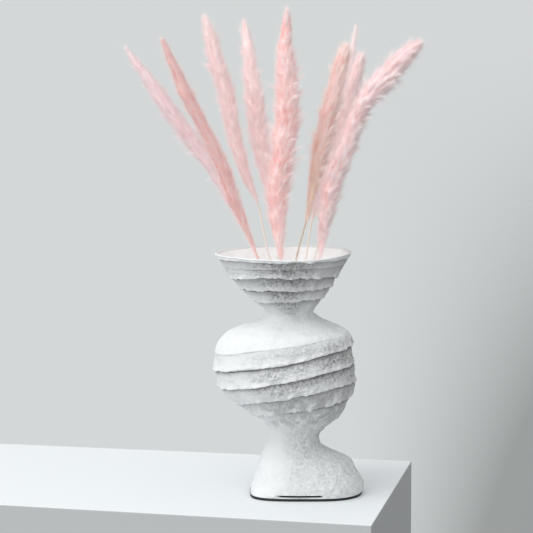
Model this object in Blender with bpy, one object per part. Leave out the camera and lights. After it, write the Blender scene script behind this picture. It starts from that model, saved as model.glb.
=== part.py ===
"""A vase of dyed pampas grass: a hand-plastered white vase on a thin foot pad, holding nine plumed stalks.

The frame is in metres with +Z up. The origin is under the vase's neck, on the underside of the foot pad,
and the front of the vase faces -Y. Sizes in the tables below are millimetres, turned to metres by MM.
"""

import math
import random

import bmesh
import bpy
from mathutils import Vector
from mathutils.bvhtree import BVHTree

MM = 0.001

# Vase
VASE_HEIGHT = 300.0
VASE_SIDES = 32
VASE_BOTTOM = 3.3
LIP_ROUNDING = 1.6
RIM_SLOPE = 0.012
RIM_WAVE = 1.3
RIM_WAVE_BELOW = 280.0
FOOT_DEPTH_SHARE = 0.89
FOOT_OVAL_BELOW, ROUND_ABOVE = 40.0, 62.0
FOOT_SQUARENESS = 3.3
FOOT_LEFT_SQUARER = 0.7
HAND_UNEVENNESS = 0.008
LEVEL_STEPS = 12

# Waves round the vase, each with how many there are, where they start and their share. Those of the hand's
# unevenness turn slowly with height instead, once round in this many millimetres times two pi
RIM_WAVES = [(2, 0.6, 0.6), (3, 2.0, 0.4)]
HAND_WAVES = [(2, 40.0, 1.0), (3, -25.0, 0.6)]

# Outside of the vase without its ridges: height, centre's offset in x and half-width
OUTSIDE = [
    (0.0, 19.8, 69.8),
    (6.0, 20.8, 69.6),
    (14.0, 22.7, 67.9),
    (30.0, 21.1, 61.3),
    (42.0, 18.7, 55.3),
    (50.0, 12.4, 45.3),
    (60.0, 4.8, 33.8),
    (70.0, 4.0, 31.0),
    (78.0, 4.5, 32.4),
    (86.0, 8.9, 38.8),
    (93.5, 12.0, 44.5),
    (103.0, 6.4, 58.0),
    (114.0, 2.2, 68.0),
    (126.0, -3.3, 79.3),
    (140.0, -5.5, 84.9),
    (157.0, -7.2, 86.5),
    (172.0, -8.0, 85.4),
    (184.0, -6.8, 84.0),
    (194.0, -4.1, 81.0),
    (202.0, -2.0, 74.2),
    (208.0, -1.2, 61.4),
    (214.0, 3.2, 45.2),
    (220.0, 1.8, 34.6),
    (226.0, -0.2, 29.0),
    (232.0, -0.6, 32.0),
    (242.0, -4.1, 42.3),
    (257.0, -6.1, 54.6),
    (270.0, -8.2, 64.3),
    (288.0, -9.1, 76.0),
    (300.0, -9.0, 83.6),
]

# Inside of the vase in the same columns, from its floor up to the lip
INSIDE = [
    (11.5, 21.5, 53.5),
    (26.0, 21.0, 50.0),
    (40.0, 18.0, 43.0),
    (50.0, 11.5, 33.0),
    (60.0, 5.5, 24.0),
    (70.0, 4.2, 22.0),
    (80.0, 6.0, 24.5),
    (90.0, 9.0, 32.0),
    (102.0, 7.0, 47.0),
    (116.0, 1.0, 62.0),
    (136.0, -5.0, 76.0),
    (160.0, -7.0, 78.5),
    (184.0, -5.0, 75.0),
    (199.0, -2.0, 64.0),
    (207.5, 0.0, 40.0),
    (216.0, 0.5, 23.0),
    (226.0, 0.0, 20.5),
    (236.0, -2.0, 28.0),
    (250.0, -5.5, 44.5),
    (272.0, -8.2, 62.0),
    (300.0, -9.0, 80.0),
]

# Ridges dragged into the plaster, bottom to top. Each is a crease with a lip standing out over it: the crease's
# level, how far the lip stands out, the crease's slopes in x and in y, the bearing at which the lip is strongest,
# and the share of it that is lost on the opposite side
BELLY_RIDGES = [
    (109.5, 1.8, 0.143, -0.020, -40.0, 1.0),
    (125.2, 2.8, 0.189, -0.068, -60.0, 0.8),
    (148.5, 3.2, 0.184, -0.024, -70.0, 0.3),
    (170.5, 3.2, 0.200, -0.024, -50.0, 0.3),
    (188.5, 1.2, 0.179, -0.058, -70.0, 0.4),
]
BOWL_RIDGES = [
    (241.5, 1.8, 0.055, -0.060, -70.0, 0.6),
    (257.3, 2.6, 0.040, -0.018, -70.0, 0.3),
    (269.4, 3.2, 0.016, -0.112, -90.0, 0.2),
    (285.0, 0.9, 0.010, -0.050, -150.0, 0.7),
]
RIDGE_DROP = 2.4
RIDGE_BACK = 0.3
RIDGE_WANDER = 0.9
RIDGE_WAVES = [(2, 1.0, 0.6), (5, 1.7, 0.4)]
FOOT_LEVELS = [VASE_BOTTOM, 6.0, 14.0, 27.0, 37.0, 44.0, 50.0, 56.0, 63.0, 71.0, 79.0, 86.0, 93.5, 101.5]
NECK_LEVELS = [202.0, 206.0, 210.0, 214.0, 218.0, 222.0, 226.0, 231.0, 236.0]
RIM_LEVEL = 298.3
LEVEL_ROWS = [(71.0, 0.0, 0.0), (222.0, 0.0, 0.0), (231.0, 0.0, 0.0)]

# Foot pad
PAD_THICKNESS = 3.0
PAD_INSET = 0.5
PAD_BEVEL = 0.5
PAD_BEVEL_ABOVE = 60

# Stalks, in x, y, z: what each heads for in the belly, where it crosses the neck, the points that it bends through
# from the rim to its tip, its plume and its dye. A plume is the height at which it starts, its half-width, the
# share of that at its base, how far up it is fullest, how blunt it is above that, and the share at its tip
STALKS = [
    ("pampas_1", (29, -7), (-9, 9),
     [(-45, 24, 298), (-61, 31, 334), (-87, 41, 387), (-124, 52, 442), (-159, 60, 486), (-205, 72, 551)],
     (320, 11.0, 0.28, 0.50, 1.2, 0.15), "dusty"),
    ("pampas_2", (13, 2), (-14.5, -9),
     [(-42, -20, 302), (-66, -30, 360), (-78, -36, 401), (-101, -45, 454), (-123, -51, 496), (-155, -62, 564)],
     (322, 9.0, 0.35, 0.60, 1.6, 0.35), "rose"),
    ("pampas_3", (16, -3), (-6, 1),
     [(-27, 5, 299), (-40, 8, 359), (-52, 9, 389), (-64, 11, 435), (-75, 13, 485), (-91, 15, 535), (-106, 18, 592)],
     (358, 12.0, 0.25, 0.70, 2.2, 0.30), "blush"),
    ("pampas_4", (4, 4), (-6, 17),
     [(-15, 29, 296), (-18, 37, 331), (-26, 47, 381), (-35, 57, 431), (-42, 67, 481), (-50, 78, 532), (-58, 88, 581)],
     (306, 13.5, 0.30, 0.50, 1.6, 0.35), "blush"),
    ("pampas_5", (-8, -2), (-9.5, -14),
     [(-11, -26, 302), (-12, -30, 325), (-11, -36, 376), (-8, -43, 426), (-4, -51, 489), (-3, -58, 539),
      (-4, -66, 603)],
     (304, 16.5, 0.28, 0.60, 1.5, 0.24), "coral"),
    ("pampas_6", (-24.5, 1), (-7.5, -3.5),
     [(9, -7, 300), (22, -11, 349), (32, -14, 399), (44, -17, 449), (57, -21, 512), (67, -24, 559)],
     (335, 12.0, 0.40, 0.75, 2.6, 0.40), "sand"),
    ("pampas_7", (-2.5, -1.5), (9.5, 14),
     [(21, 28, 296), (27, 36, 334), (39, 45, 378), (54, 57, 435), (67, 68, 490), (76, 78, 539), (83, 86, 577)],
     (335, 8.5, 0.35, 0.60, 1.2, 0.25), "blush"),
    ("pampas_8", (-6, -12.5), (13.5, -1),
     [(32, 10, 298), (40, 14, 333), (51, 18, 376), (61, 22, 419), (70, 26, 464), (80, 31, 508), (89, 34, 545)],
     (306, 12.5, 0.35, 0.60, 2.0, 0.35), "blush"),
    ("pampas_9", (-1.5, 18), (18, -2),
     [(37, -22, 302), (48, -35, 368), (58, -42, 406), (72, -50, 444), (86, -57, 483), (104, -63, 509),
      (130, -69, 540), (157, -74, 566)],
     (306, 15.0, 0.32, 0.80, 2.4, 0.40), "blush"),
]
BELLY_HEIGHT = 150.0
NECK_HEIGHT = 226.0
STEM_SIDES = 6
STEM_FOOT_RADIUS = 1.6
STEM_TOP_RADIUS = 0.9
TIP_RADIUS = 0.45
CORE_SHARE = 0.62
FULLNESS_RISE = 0.55
FULLNESS_FALL = 0.8
SEAT_GAP = 0.5
SEAT_STEP = 0.1
FREE_BELOW_NECK = 24.0
STEM_RINGS = 7
CORE_RINGS = 13
ROUTE_STEPS = 8

# Tufts: the side branches of a plume, each a tapering sheaf of hairs. The least values are for where a plume is thin
TUFT_SPACING = 5.5
TUFT_LENGTH = 34.0
TUFT_LEAST_LENGTH = 0.45
TUFT_LENGTH_CHANCE = 0.12
TUFT_HALF_WIDTH = 3.6
TUFT_LEAST_WIDTH = 0.55
TUFT_ROOT_SHARE = 0.6
TUFT_THICKNESS = 1.2
TUFT_BACK_SHARE = 0.4
TUFT_SUNK = 1.6
TUFT_BEND = 0.72
TUFT_STRAIGHTENED = 0.45
TUFT_WIDEST_AT = 0.7
TUFT_OVERHANG = 4.0
FIRST_TUFT, LAST_TUFT = 0.02, 0.95
LEAST_SPREAD, MOST_SPREAD = 0.06, 0.55
GOLDEN_ANGLE = math.radians(137.508)
TURN_CHANCE = 0.15

# Degrees between faces from which an edge is shaded sharp
VASE_SHARP, PAD_SHARP, STALK_SHARP = 40, 30, 50

# Colours as linear RGB, with roughness
FINISHES = {
    "plaster": ((0.83, 0.83, 0.82), 0.95),
    "pad": ((0.012, 0.012, 0.013), 0.8),
    "dusty": ((0.78, 0.56, 0.56), 0.9),
    "rose": ((0.80, 0.42, 0.40), 0.9),
    "blush": ((0.90, 0.64, 0.62), 0.9),
    "coral": ((0.88, 0.48, 0.45), 0.9),
    "sand": ((0.80, 0.58, 0.46), 0.9),
}


def clear_scene():
    for old in list(bpy.data.objects):
        bpy.data.objects.remove(old)


def finish(name):
    """The material of a finish, made once."""
    material = bpy.data.materials.get(name)
    if material is None:
        colour, roughness = FINISHES[name]
        material = bpy.data.materials.new(name)
        material.use_nodes = True
        shader = material.node_tree.nodes["Principled BSDF"]
        shader.inputs["Base Color"].default_value = (*colour, 1.0)
        shader.inputs["Roughness"].default_value = roughness
        shader.inputs["Metallic"].default_value = 0.0
    return material


def skin(name, rings, finish_name, place=(0.0, 0.0, 0.0), collection=None):
    """A closed object skinned over rings of points in millimetres. The last ring may be a single point."""
    origin = Vector(place)
    shape = bmesh.new()
    loops = [[shape.verts.new((Vector(point) - origin) * MM) for point in ring] for ring in rings]
    for low, high in zip(loops, loops[1:]):
        for i, corner in enumerate(low):
            after = low[(i + 1) % len(low)]
            if len(high) == 1:
                shape.faces.new((corner, after, high[0]))
            else:
                shape.faces.new((corner, after, high[(i + 1) % len(high)], high[i]))
    shape.faces.new(loops[0])
    if len(loops[-1]) > 1:
        shape.faces.new(loops[-1])
    bmesh.ops.recalc_face_normals(shape, faces=shape.faces)
    mesh = bpy.data.meshes.new(name)
    shape.to_mesh(mesh)
    shape.free()
    mesh.materials.append(finish(finish_name))
    made = bpy.data.objects.new(name, mesh)
    made.location = origin * MM
    (collection or bpy.context.scene.collection).objects.link(made)
    return made


def shade(made, angle):
    made.data.shade_smooth()
    made.data.set_sharp_from_angle(angle=math.radians(angle))


def ease(share):
    share = min(max(share, 0.0), 1.0)
    return share * share * (3 - 2 * share)


def turns(count):
    return [2 * math.pi * i / count for i in range(count)]


def section_at(table, height):
    """Centre, half-width and half-depth at a height, on a smooth curve through the table's rows."""
    height = min(max(height, table[0][0]), table[-1][0])
    low = max(i for i in range(len(table) - 1) if table[i][0] <= height)
    high = low + 1
    before, after = max(low - 1, 0), min(high + 1, len(table) - 1)
    span = table[high][0] - table[low][0]
    t = (height - table[low][0]) / span
    values = []
    for column in (1, 2):
        rise_low = (table[high][column] - table[before][column]) / (table[high][0] - table[before][0])
        rise_high = (table[after][column] - table[low][column]) / (table[after][0] - table[low][0])
        values.append(
            (2 * t**3 - 3 * t**2 + 1) * table[low][column]
            + (t**3 - 2 * t**2 + t) * span * rise_low
            + (3 * t**2 - 2 * t**3) * table[high][column]
            + (t**3 - t**2) * span * rise_high
        )
    centre, half_width = values
    round_share = ease((height - FOOT_OVAL_BELOW) / (ROUND_ABOVE - FOOT_OVAL_BELOW))
    return centre, half_width, half_width * (FOOT_DEPTH_SHARE + (1 - FOOT_DEPTH_SHARE) * round_share)


def around(angle, height, centre, half_width, half_depth):
    """The point of a cross-section at an angle. The foot is a squarish oval, more so on its left, and the rest
    is round, with the slight unevenness of hand work."""
    square_share = max(0.0, 1.0 - height / ROUND_ABOVE)
    squareness = 2.0 + square_share * (FOOT_SQUARENESS - 2.0 - FOOT_LEFT_SQUARER * math.cos(angle))
    waves = sum(part * math.sin(count * angle + height / turning) for count, turning, part in HAND_WAVES)
    uneven = 1.0 + HAND_UNEVENNESS * waves
    across = math.copysign(abs(math.cos(angle)) ** (2 / squareness), math.cos(angle))
    deep = math.copysign(abs(math.sin(angle)) ** (2 / squareness), math.sin(angle))
    return centre + half_width * uneven * across, half_depth * uneven * deep


def slopes_at(level):
    """Slopes in x and y of a row of the wall, going from ridge to ridge and to the level rows between the bands."""
    known = [(ridge[0], ridge[2], ridge[3]) for ridge in BELLY_RIDGES + BOWL_RIDGES]
    known = sorted(known + LEVEL_ROWS + [(VASE_HEIGHT, RIM_SLOPE, 0.0)])
    if level <= known[0][0]:
        return 0.0, 0.0
    for low, high in zip(known, known[1:]):
        if level <= high[0]:
            share = (level - low[0]) / (high[0] - low[0])
            return low[1] + share * (high[1] - low[1]), low[2] + share * (high[2] - low[2])
    return RIM_SLOPE, 0.0


def outside_point(level, angle, relief):
    """A point of a sloping row of the outer wall, standing out square to the wall by the relief."""
    slope_x, slope_y = slopes_at(level)
    height = level
    for _ in range(LEVEL_STEPS):
        section = section_at(OUTSIDE, height)
        x, y = around(angle, height, *section)
        height = (height + level + slope_x * (x - section[0]) + slope_y * y) / 2
    wider = section_at(OUTSIDE, height + 0.5)[1] - section_at(OUTSIDE, height - 0.5)[1]
    reach = relief / math.hypot(1.0, wider)
    return x + reach * math.cos(angle), y + reach * math.sin(angle), height - reach * wider


def wander(level, angle):
    """How far a ridge strays up and down from its slope, as a hand would drag it."""
    return RIDGE_WANDER * sum(part * math.sin(count * angle + turn * level) for count, turn, part in RIDGE_WAVES)


def lip_share(ridge, angle):
    """The share of a ridge's lip that stands out at an angle."""
    return 1.0 - ridge[5] * (1.0 - math.cos(angle - math.radians(ridge[4]))) / 2


def ridge_rows(ridges, top):
    """Rows of a band of ridges: each crease, the lip over it, and the slope back up to the next crease."""
    rows = []
    for ridge, above in zip(ridges, [ridge[0] for ridge in ridges[1:]] + [top]):
        lip = ridge[0] + RIDGE_DROP
        rows.append((ridge[0], 0.0, ridge))
        rows.append((lip, ridge[1], ridge))
        rows.append(((lip + above) / 2, RIDGE_BACK * ridge[1], ridge))
    return rows


def plain_rows(levels):
    return [(level, 0.0, None) for level in levels]


def outside_rows():
    """All rows of the outer wall from foot to lip: level, relief and the ridge that a row belongs to."""
    return (
        plain_rows(FOOT_LEVELS)
        + ridge_rows(BELLY_RIDGES, NECK_LEVELS[0])
        + plain_rows(NECK_LEVELS)
        + ridge_rows(BOWL_RIDGES, RIM_LEVEL)
        + plain_rows([RIM_LEVEL])
    )


def rim_lift(level, angle, x):
    """How far the hand-made rim lifts a row near it: its slope, and its wave round the lip."""
    share = max(0.0, (level - RIM_WAVE_BELOW) / (VASE_HEIGHT - RIM_WAVE_BELOW))
    wave = sum(part * math.sin(count * angle + start) for count, start, part in RIM_WAVES)
    return share * (RIM_SLOPE * x + RIM_WAVE * wave)


def outside_ring(level, relief, ridge):
    ring = []
    for angle in turns(VASE_SIDES):
        stray = wander(ridge[0], angle) if ridge else 0.0
        out = relief * lip_share(ridge, angle) if ridge else 0.0
        x, y, z = outside_point(level + stray, angle, out)
        ring.append((x, y, z + rim_lift(level, angle, 0.0)))
    return ring


def inside_ring(level, section, rise):
    ring = []
    for angle in turns(VASE_SIDES):
        x, y = around(angle, level, *section)
        ring.append((x, y, level + rise + rim_lift(level, angle, x)))
    return ring


def vase():
    """The plastered shell: rings up the outer wall, over the lip and down the inner wall to a flat floor."""
    rings = [outside_ring(*row) for row in outside_rows()]
    outer, inner = section_at(OUTSIDE, VASE_HEIGHT), section_at(INSIDE, VASE_HEIGHT)
    crown = [(a + b) / 2 for a, b in zip(outer, inner)]
    rings.append(inside_ring(VASE_HEIGHT, crown, LIP_ROUNDING / 2))
    for level, _centre, _half_width in reversed(INSIDE):
        drop = LIP_ROUNDING / 2 if level == VASE_HEIGHT else 0.0
        rings.append(inside_ring(level, section_at(INSIDE, level), -drop))
    made = skin("vase", rings, "plaster")
    shade(made, VASE_SHARP)
    return made


def foot_pad():
    """The thin dark pad under the foot, cut to the foot's outline."""
    centre, half_width, half_depth = section_at(OUTSIDE, 0.0)
    rings = []
    for height in (0.0, PAD_THICKNESS):
        outline = [around(a, 0.0, centre, half_width - PAD_INSET, half_depth - PAD_INSET) for a in turns(VASE_SIDES)]
        rings.append([(x, y, height) for x, y in outline])
    made = skin("foot_pad", rings, "pad")
    bevel = made.modifiers.new("Bevel", "BEVEL")
    bevel.width = PAD_BEVEL * MM
    bevel.segments = 1
    bevel.angle_limit = math.radians(PAD_BEVEL_ABOVE)
    shade(made, PAD_SHARP)
    return made


def side_axes(heading):
    """Two directions square to a heading and to each other."""
    first = heading.cross(Vector((0.0, 1.0, 0.0))).normalized()
    return first, heading.cross(first).normalized()


def stem_ring(centre, heading, radius):
    first, second = side_axes(heading)
    return [centre + radius * (math.cos(turn) * first + math.sin(turn) * second) for turn in turns(STEM_SIDES)]


def foot_of(belly, neck, wall):
    """Where a stem's cut end stands on the vase's inner wall or floor, just clear of it."""
    down = (belly - neck).normalized()
    point = neck + down * FREE_BELOW_NECK
    gap = STEM_FOOT_RADIUS
    while gap > SEAT_GAP:
        point += down * SEAT_STEP
        ring = stem_ring(point, -down, STEM_FOOT_RADIUS)
        gap = min(wall.find_nearest(corner * MM)[3] / MM for corner in ring)
    return point


def curve_through(points):
    """Points on a smooth curve through the given ones, closer together than they are."""
    padded = [2 * points[0] - points[1], *points, 2 * points[-1] - points[-2]]
    made = []
    for before, start, end, after in zip(padded, padded[1:], padded[2:], padded[3:]):
        for t in (k / ROUTE_STEPS for k in range(ROUTE_STEPS)):
            linear = (end - before) * t
            square = (2 * before - 5 * start + 4 * end - after) * t**2
            cubic = (3 * start - before - 3 * end + after) * t**3
            made.append(start + (linear + square + cubic) / 2)
    made.append(points[-1])
    return made


class Route:
    """A stalk's middle line, read by distance from its foot."""

    def __init__(self, points):
        self.points = points
        self.distances = [0.0]
        for a, b in zip(points, points[1:]):
            self.distances.append(self.distances[-1] + (b - a).length)
        self.length = self.distances[-1]

    def at(self, distance):
        distance = min(max(distance, 0.0), self.length)
        i = max(k for k in range(len(self.points) - 1) if self.distances[k] <= distance)
        share = (distance - self.distances[i]) / (self.distances[i + 1] - self.distances[i])
        return self.points[i].lerp(self.points[i + 1], share)

    def heading(self, distance):
        return (self.at(distance + 1.0) - self.at(distance - 1.0)).normalized()

    def distance_at_height(self, height):
        return max(d for d, point in zip(self.distances, self.points) if point.z <= height)


def route_of(belly, neck, guide, wall):
    belly, neck = Vector((*belly, BELLY_HEIGHT)), Vector((*neck, NECK_HEIGHT))
    foot = foot_of(belly, neck, wall)
    return Route(curve_through([foot, foot.lerp(neck, 0.5), neck, *(Vector(point) for point in guide)]))


def fullness(share, form):
    """Half-width along a plume, as a share of its greatest."""
    base, fullest, bluntness, tip = form
    if share < fullest:
        return base + (1 - base) * (share / fullest) ** FULLNESS_RISE
    beyond = min(1.0, (share - fullest) / (1 - fullest))
    return tip + (1 - tip) * (1 - beyond**bluntness) ** FULLNESS_FALL


def core_radius(share, half_width, form):
    """How thick the plume's core is: nothing at the base, and tapering away above where the plume is fullest."""
    base, fullest = form[:2]
    swelling = max(0.0, fullness(share, form) - base * (1 - share))
    return CORE_SHARE * half_width * swelling * min(1.0, (1 - share) / (1 - fullest))


def stalk_body(name, route, plume_start, half_width, form, dye):
    """The stem and the plume's slim core, as one tube of changing radius."""
    plume_length = route.length - plume_start
    stations = [(plume_start * i / STEM_RINGS, 0.0, 0.0) for i in range(STEM_RINGS)]
    for i in range(CORE_RINGS + 1):
        share = i / CORE_RINGS
        stations.append((plume_start + plume_length * share, share, core_radius(share, half_width, form)))
    rings = []
    for distance, share, core in stations:
        stem = STEM_FOOT_RADIUS + (STEM_TOP_RADIUS - STEM_FOOT_RADIUS) * distance / route.length
        radius = max(TIP_RADIUS, stem * (1 - share) + core)
        rings.append(stem_ring(route.at(distance), route.heading(distance), radius))
    return skin(name, rings, dye, place=route.at(0.0))


def tuft(name, root, heading, outward, length, spread, size, dye, collection):
    """One side branch: three-sided, swept outwards and bent back up along the stalk, and pointed at its tip."""
    across = heading.cross(outward).normalized()
    lower = heading * math.cos(spread) + outward * math.sin(spread)
    upper = heading * math.cos(TUFT_STRAIGHTENED * spread) + outward * math.sin(TUFT_STRAIGHTENED * spread)
    middle = root + lower * length / 2
    rings = []
    for centre, scale in ((root, TUFT_ROOT_SHARE * size), (middle, size)):
        aside = across * TUFT_HALF_WIDTH * scale
        thick = across.cross(lower).normalized() * TUFT_THICKNESS * scale
        back = TUFT_BACK_SHARE * thick
        rings.append([centre + aside - back, centre - aside - back, centre + thick])
    rings.append([middle + upper * length / 2])
    return skin(name, rings, dye, collection=collection)


def fuse(body, collection):
    """Joins a collection's objects to the body by one union and removes them."""
    union = body.modifiers.new("Tufts", "BOOLEAN")
    union.operation = "UNION"
    union.operand_type = "COLLECTION"
    union.collection = collection
    bpy.context.view_layer.objects.active = body
    bpy.ops.object.modifier_apply(modifier=union.name)
    for piece in list(collection.objects):
        bpy.data.objects.remove(piece)
    bpy.data.collections.remove(collection)


def pampas(name, belly, neck, guide, plume, dye, wall):
    """One stalk: its stem from the vase's inside up to the plume, and the plume's core with its tufts."""
    plume_height, half_width, *form = plume
    route = route_of(belly, neck, guide, wall)
    plume_start = route.distance_at_height(plume_height)
    plume_length = route.length - plume_start
    body = stalk_body(name, route, plume_start, half_width, form, dye)
    tufts = bpy.data.collections.new(name + "_tufts")
    bpy.context.scene.collection.children.link(tufts)
    draw = random.Random(name)
    count = int(plume_length / TUFT_SPACING)
    for i in range(count):
        share = FIRST_TUFT + (LAST_TUFT - FIRST_TUFT) * i / (count - 1)
        distance = plume_start + plume_length * share
        heading = route.heading(distance)
        first, second = side_axes(heading)
        turn = i * GOLDEN_ANGLE + draw.uniform(-TURN_CHANCE, TURN_CHANCE)
        outward = math.cos(turn) * first + math.sin(turn) * second
        full = fullness(share, form)
        out = max(0.0, core_radius(share, half_width, form) - TUFT_SUNK)
        length = TUFT_LENGTH * (TUFT_LEAST_LENGTH + (1 - TUFT_LEAST_LENGTH) * full)
        length *= draw.uniform(1 - TUFT_LENGTH_CHANCE, 1 + TUFT_LENGTH_CHANCE)
        length = min(length, route.length - distance + TUFT_OVERHANG)
        reach = half_width * fullness(min(1.0, share + TUFT_WIDEST_AT * length / plume_length), form)
        spread = math.asin(min(MOST_SPREAD, max(LEAST_SPREAD, (reach - out) / (TUFT_BEND * length))))
        root = route.at(distance) + outward * out
        size = TUFT_LEAST_WIDTH + (1 - TUFT_LEAST_WIDTH) * full
        tuft(f"{name}_tuft_{i}", root, heading, outward, length, spread, size, dye, tufts)
    fuse(body, tufts)
    shade(body, STALK_SHARP)
    return body


def main():
    clear_scene()
    shell = vase()
    wall = BVHTree.FromPolygons([v.co for v in shell.data.vertices], [p.vertices for p in shell.data.polygons])
    pieces = [shell, foot_pad()]
    for stalk in STALKS:
        pieces.append(pampas(*stalk, wall))
    arrangement = bpy.data.objects.new("vase_of_pampas_grass", None)
    bpy.context.scene.collection.objects.link(arrangement)
    for piece in pieces:
        piece.parent = arrangement


main()
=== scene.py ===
import math
from collections import namedtuple

import bpy
import numpy as np
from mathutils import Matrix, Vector, noise


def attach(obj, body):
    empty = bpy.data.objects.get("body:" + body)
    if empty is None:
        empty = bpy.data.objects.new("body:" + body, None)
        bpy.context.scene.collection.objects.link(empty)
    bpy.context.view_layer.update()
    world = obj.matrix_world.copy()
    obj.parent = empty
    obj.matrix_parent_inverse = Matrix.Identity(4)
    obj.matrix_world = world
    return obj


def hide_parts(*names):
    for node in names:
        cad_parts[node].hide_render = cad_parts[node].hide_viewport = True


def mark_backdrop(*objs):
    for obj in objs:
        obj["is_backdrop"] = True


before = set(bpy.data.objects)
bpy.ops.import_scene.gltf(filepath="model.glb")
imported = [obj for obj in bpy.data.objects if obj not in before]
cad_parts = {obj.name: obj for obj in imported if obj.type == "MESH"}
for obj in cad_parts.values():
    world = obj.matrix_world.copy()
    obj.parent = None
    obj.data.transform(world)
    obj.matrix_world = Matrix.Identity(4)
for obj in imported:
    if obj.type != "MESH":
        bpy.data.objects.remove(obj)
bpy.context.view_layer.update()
mm = 0.001
goldenAngle = math.radians(137.508)
tiny = 1e-9                      # keeps a vector of no length from being divided by zero
depthAxis = np.array([0.0, 1.0, 0.0])        # from the front to the back
print("frame loaded with", len(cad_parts), "nodes")


# small modelling helpers

def letGo():
    if bpy.context.mode != "OBJECT":
        bpy.ops.object.mode_set(mode="OBJECT")
    bpy.ops.object.select_all(action="DESELECT")


def pick(piece):
    letGo()
    piece.select_set(True)
    bpy.context.view_layer.objects.active = piece
    return piece


def christen(name):
    made = bpy.context.active_object
    made.name = name
    made.data.name = name
    return made


def pointsOf(piece):
    found = np.empty(len(piece.data.vertices) * 3)
    piece.data.vertices.foreach_get("co", found)
    return found.reshape(-1, 3)


def placePoints(piece, places):
    piece.data.vertices.foreach_set("co", np.asarray(places, np.float32).ravel())
    piece.data.update()


def paintAttribute(piece, name, values):
    layer = piece.data.attributes.new(name, "FLOAT", "POINT")
    layer.data.foreach_set("value", np.asarray(values, np.float32))


def dress(piece, finish):
    piece.data.materials.clear()
    piece.data.materials.append(finish)


noiseShape = {
    "octaves": 1, "gain": 0.5,   # each octave's strength, as a share of the one before it
    "finer": 2.03,               # and how much smaller its features are
    "octaveShift": 3.7, "seedShiftY": 1.3, "seedShiftZ": 0.7,
    "full": 1.6,                 # brings the noise to about -1 to 1
}


def cloud(places, layer):
    # noise between about -1 and 1 at each place, with features of the layer's size
    shape = {**noiseShape, **layer}
    seed, size, weight = shape["seed"], shape["size"], 1.0
    total = np.zeros(len(places))
    for octave in range(shape["octaves"]):
        shift = Vector((seed + shape["octaveShift"] * octave, shape["seedShiftY"] * seed - octave,
                        shape["seedShiftZ"] * seed))
        total += weight * np.array([noise.noise(Vector(p) / size + shift) for p in places])
        weight, size = weight * shape["gain"], size / shape["finer"]
    return total * shape["full"]


def layered(places, layers):
    return sum(layer["height"] * cloud(places, layer) for layer in layers)


def swell(angles, waves):
    # waves round a ring: each one's height, how many of it go round and where it starts
    return sum(height * np.sin(count * angles + start) for height, count, start in waves)


def bell(distances, spread):
    return np.exp(-(distances / spread) ** 2)


def wrapped(turns):
    # the same turns, between minus and plus half a turn
    return (turns + math.pi) % (2 * math.pi) - math.pi


def ease(share):
    share = np.clip(share, 0.0, 1.0)
    return share * share * (3 - 2 * share)


# shader maths

class Link:
    # one output of a node, so that shader maths reads as Python
    def __init__(self, finish, socket):
        self.finish = finish
        self.socket = socket

    def maths(self, operation, first, second):
        return self.finish.node("Math", {"operation": operation}, {0: first, 1: second})

    def __add__(self, other):
        return self.maths("ADD", self, other)

    def __radd__(self, other):
        return self.maths("ADD", other, self)

    def __sub__(self, other):
        return self.maths("SUBTRACT", self, other)

    def __rsub__(self, other):
        return self.maths("SUBTRACT", other, self)

    def __mul__(self, other):
        return self.maths("MULTIPLY", self, other)

    def __rmul__(self, other):
        return self.maths("MULTIPLY", other, self)

    def __pow__(self, other):
        return self.maths("POWER", self, other)

    def clipped(self, low=0.0, high=1.0):
        return self.maths("MAXIMUM", self.maths("MINIMUM", self, high), low)

    def above(self, start, slope):
        # a mask that rises from 0 at the start
        return ((self - start) * slope).clipped()

    def below(self, start, slope):
        return ((start - self) * slope).clipped()


class Finish:
    # a material, its Principled shader and the one method that adds nodes
    def __init__(self, name, **constants):
        self.material = bpy.data.materials.new(name)
        self.material.use_nodes = True
        self.tree = self.material.node_tree
        self.shader = self.tree.nodes["Principled BSDF"]
        for socket, value in constants.items():
            self.set(socket.replace("_", " "), value)

    def node(self, kind, settings=None, sockets=None, result=0):
        made = self.tree.nodes.new("ShaderNode" + kind)
        for key, value in (settings or {}).items():
            setattr(made, key, value)
        for key, value in (sockets or {}).items():
            self.feed(made.inputs[key], value)
        return Link(self, made.outputs[result])

    def feed(self, socket, value):
        if isinstance(value, Link):
            self.tree.links.new(value.socket, socket)
        elif isinstance(value, (tuple, list)) and len(value) == 3 and len(socket.default_value) == 4:
            socket.default_value = (*value, 1.0)
        else:
            socket.default_value = value

    def set(self, socket, value):
        self.feed(self.shader.inputs[socket], value)

    def objectPlace(self):
        return self.node("TexCoord", result="Object")

    def grain(self, place, scale, detail=3.0, roughness=0.55):
        values = {"Vector": place, "Scale": scale, "Detail": detail, "Roughness": roughness}
        return self.node("TexNoise", {}, values, result="Fac")

    def painted(self, name):
        return self.node("Attribute", {"attribute_name": name}, result="Fac")

    def mix(self, share, first, second):
        values = {0: share, 6: first, 7: second}
        return self.node("Mix", {"data_type": "RGBA", "clamp_factor": True}, values, result=2)

    def bumped(self, height, strength=1.0):
        # the height is in millimetres
        values = {"Height": height, "Distance": mm, "Strength": strength}
        return self.node("Bump", {}, values, result="Normal")


# the vase

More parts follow.
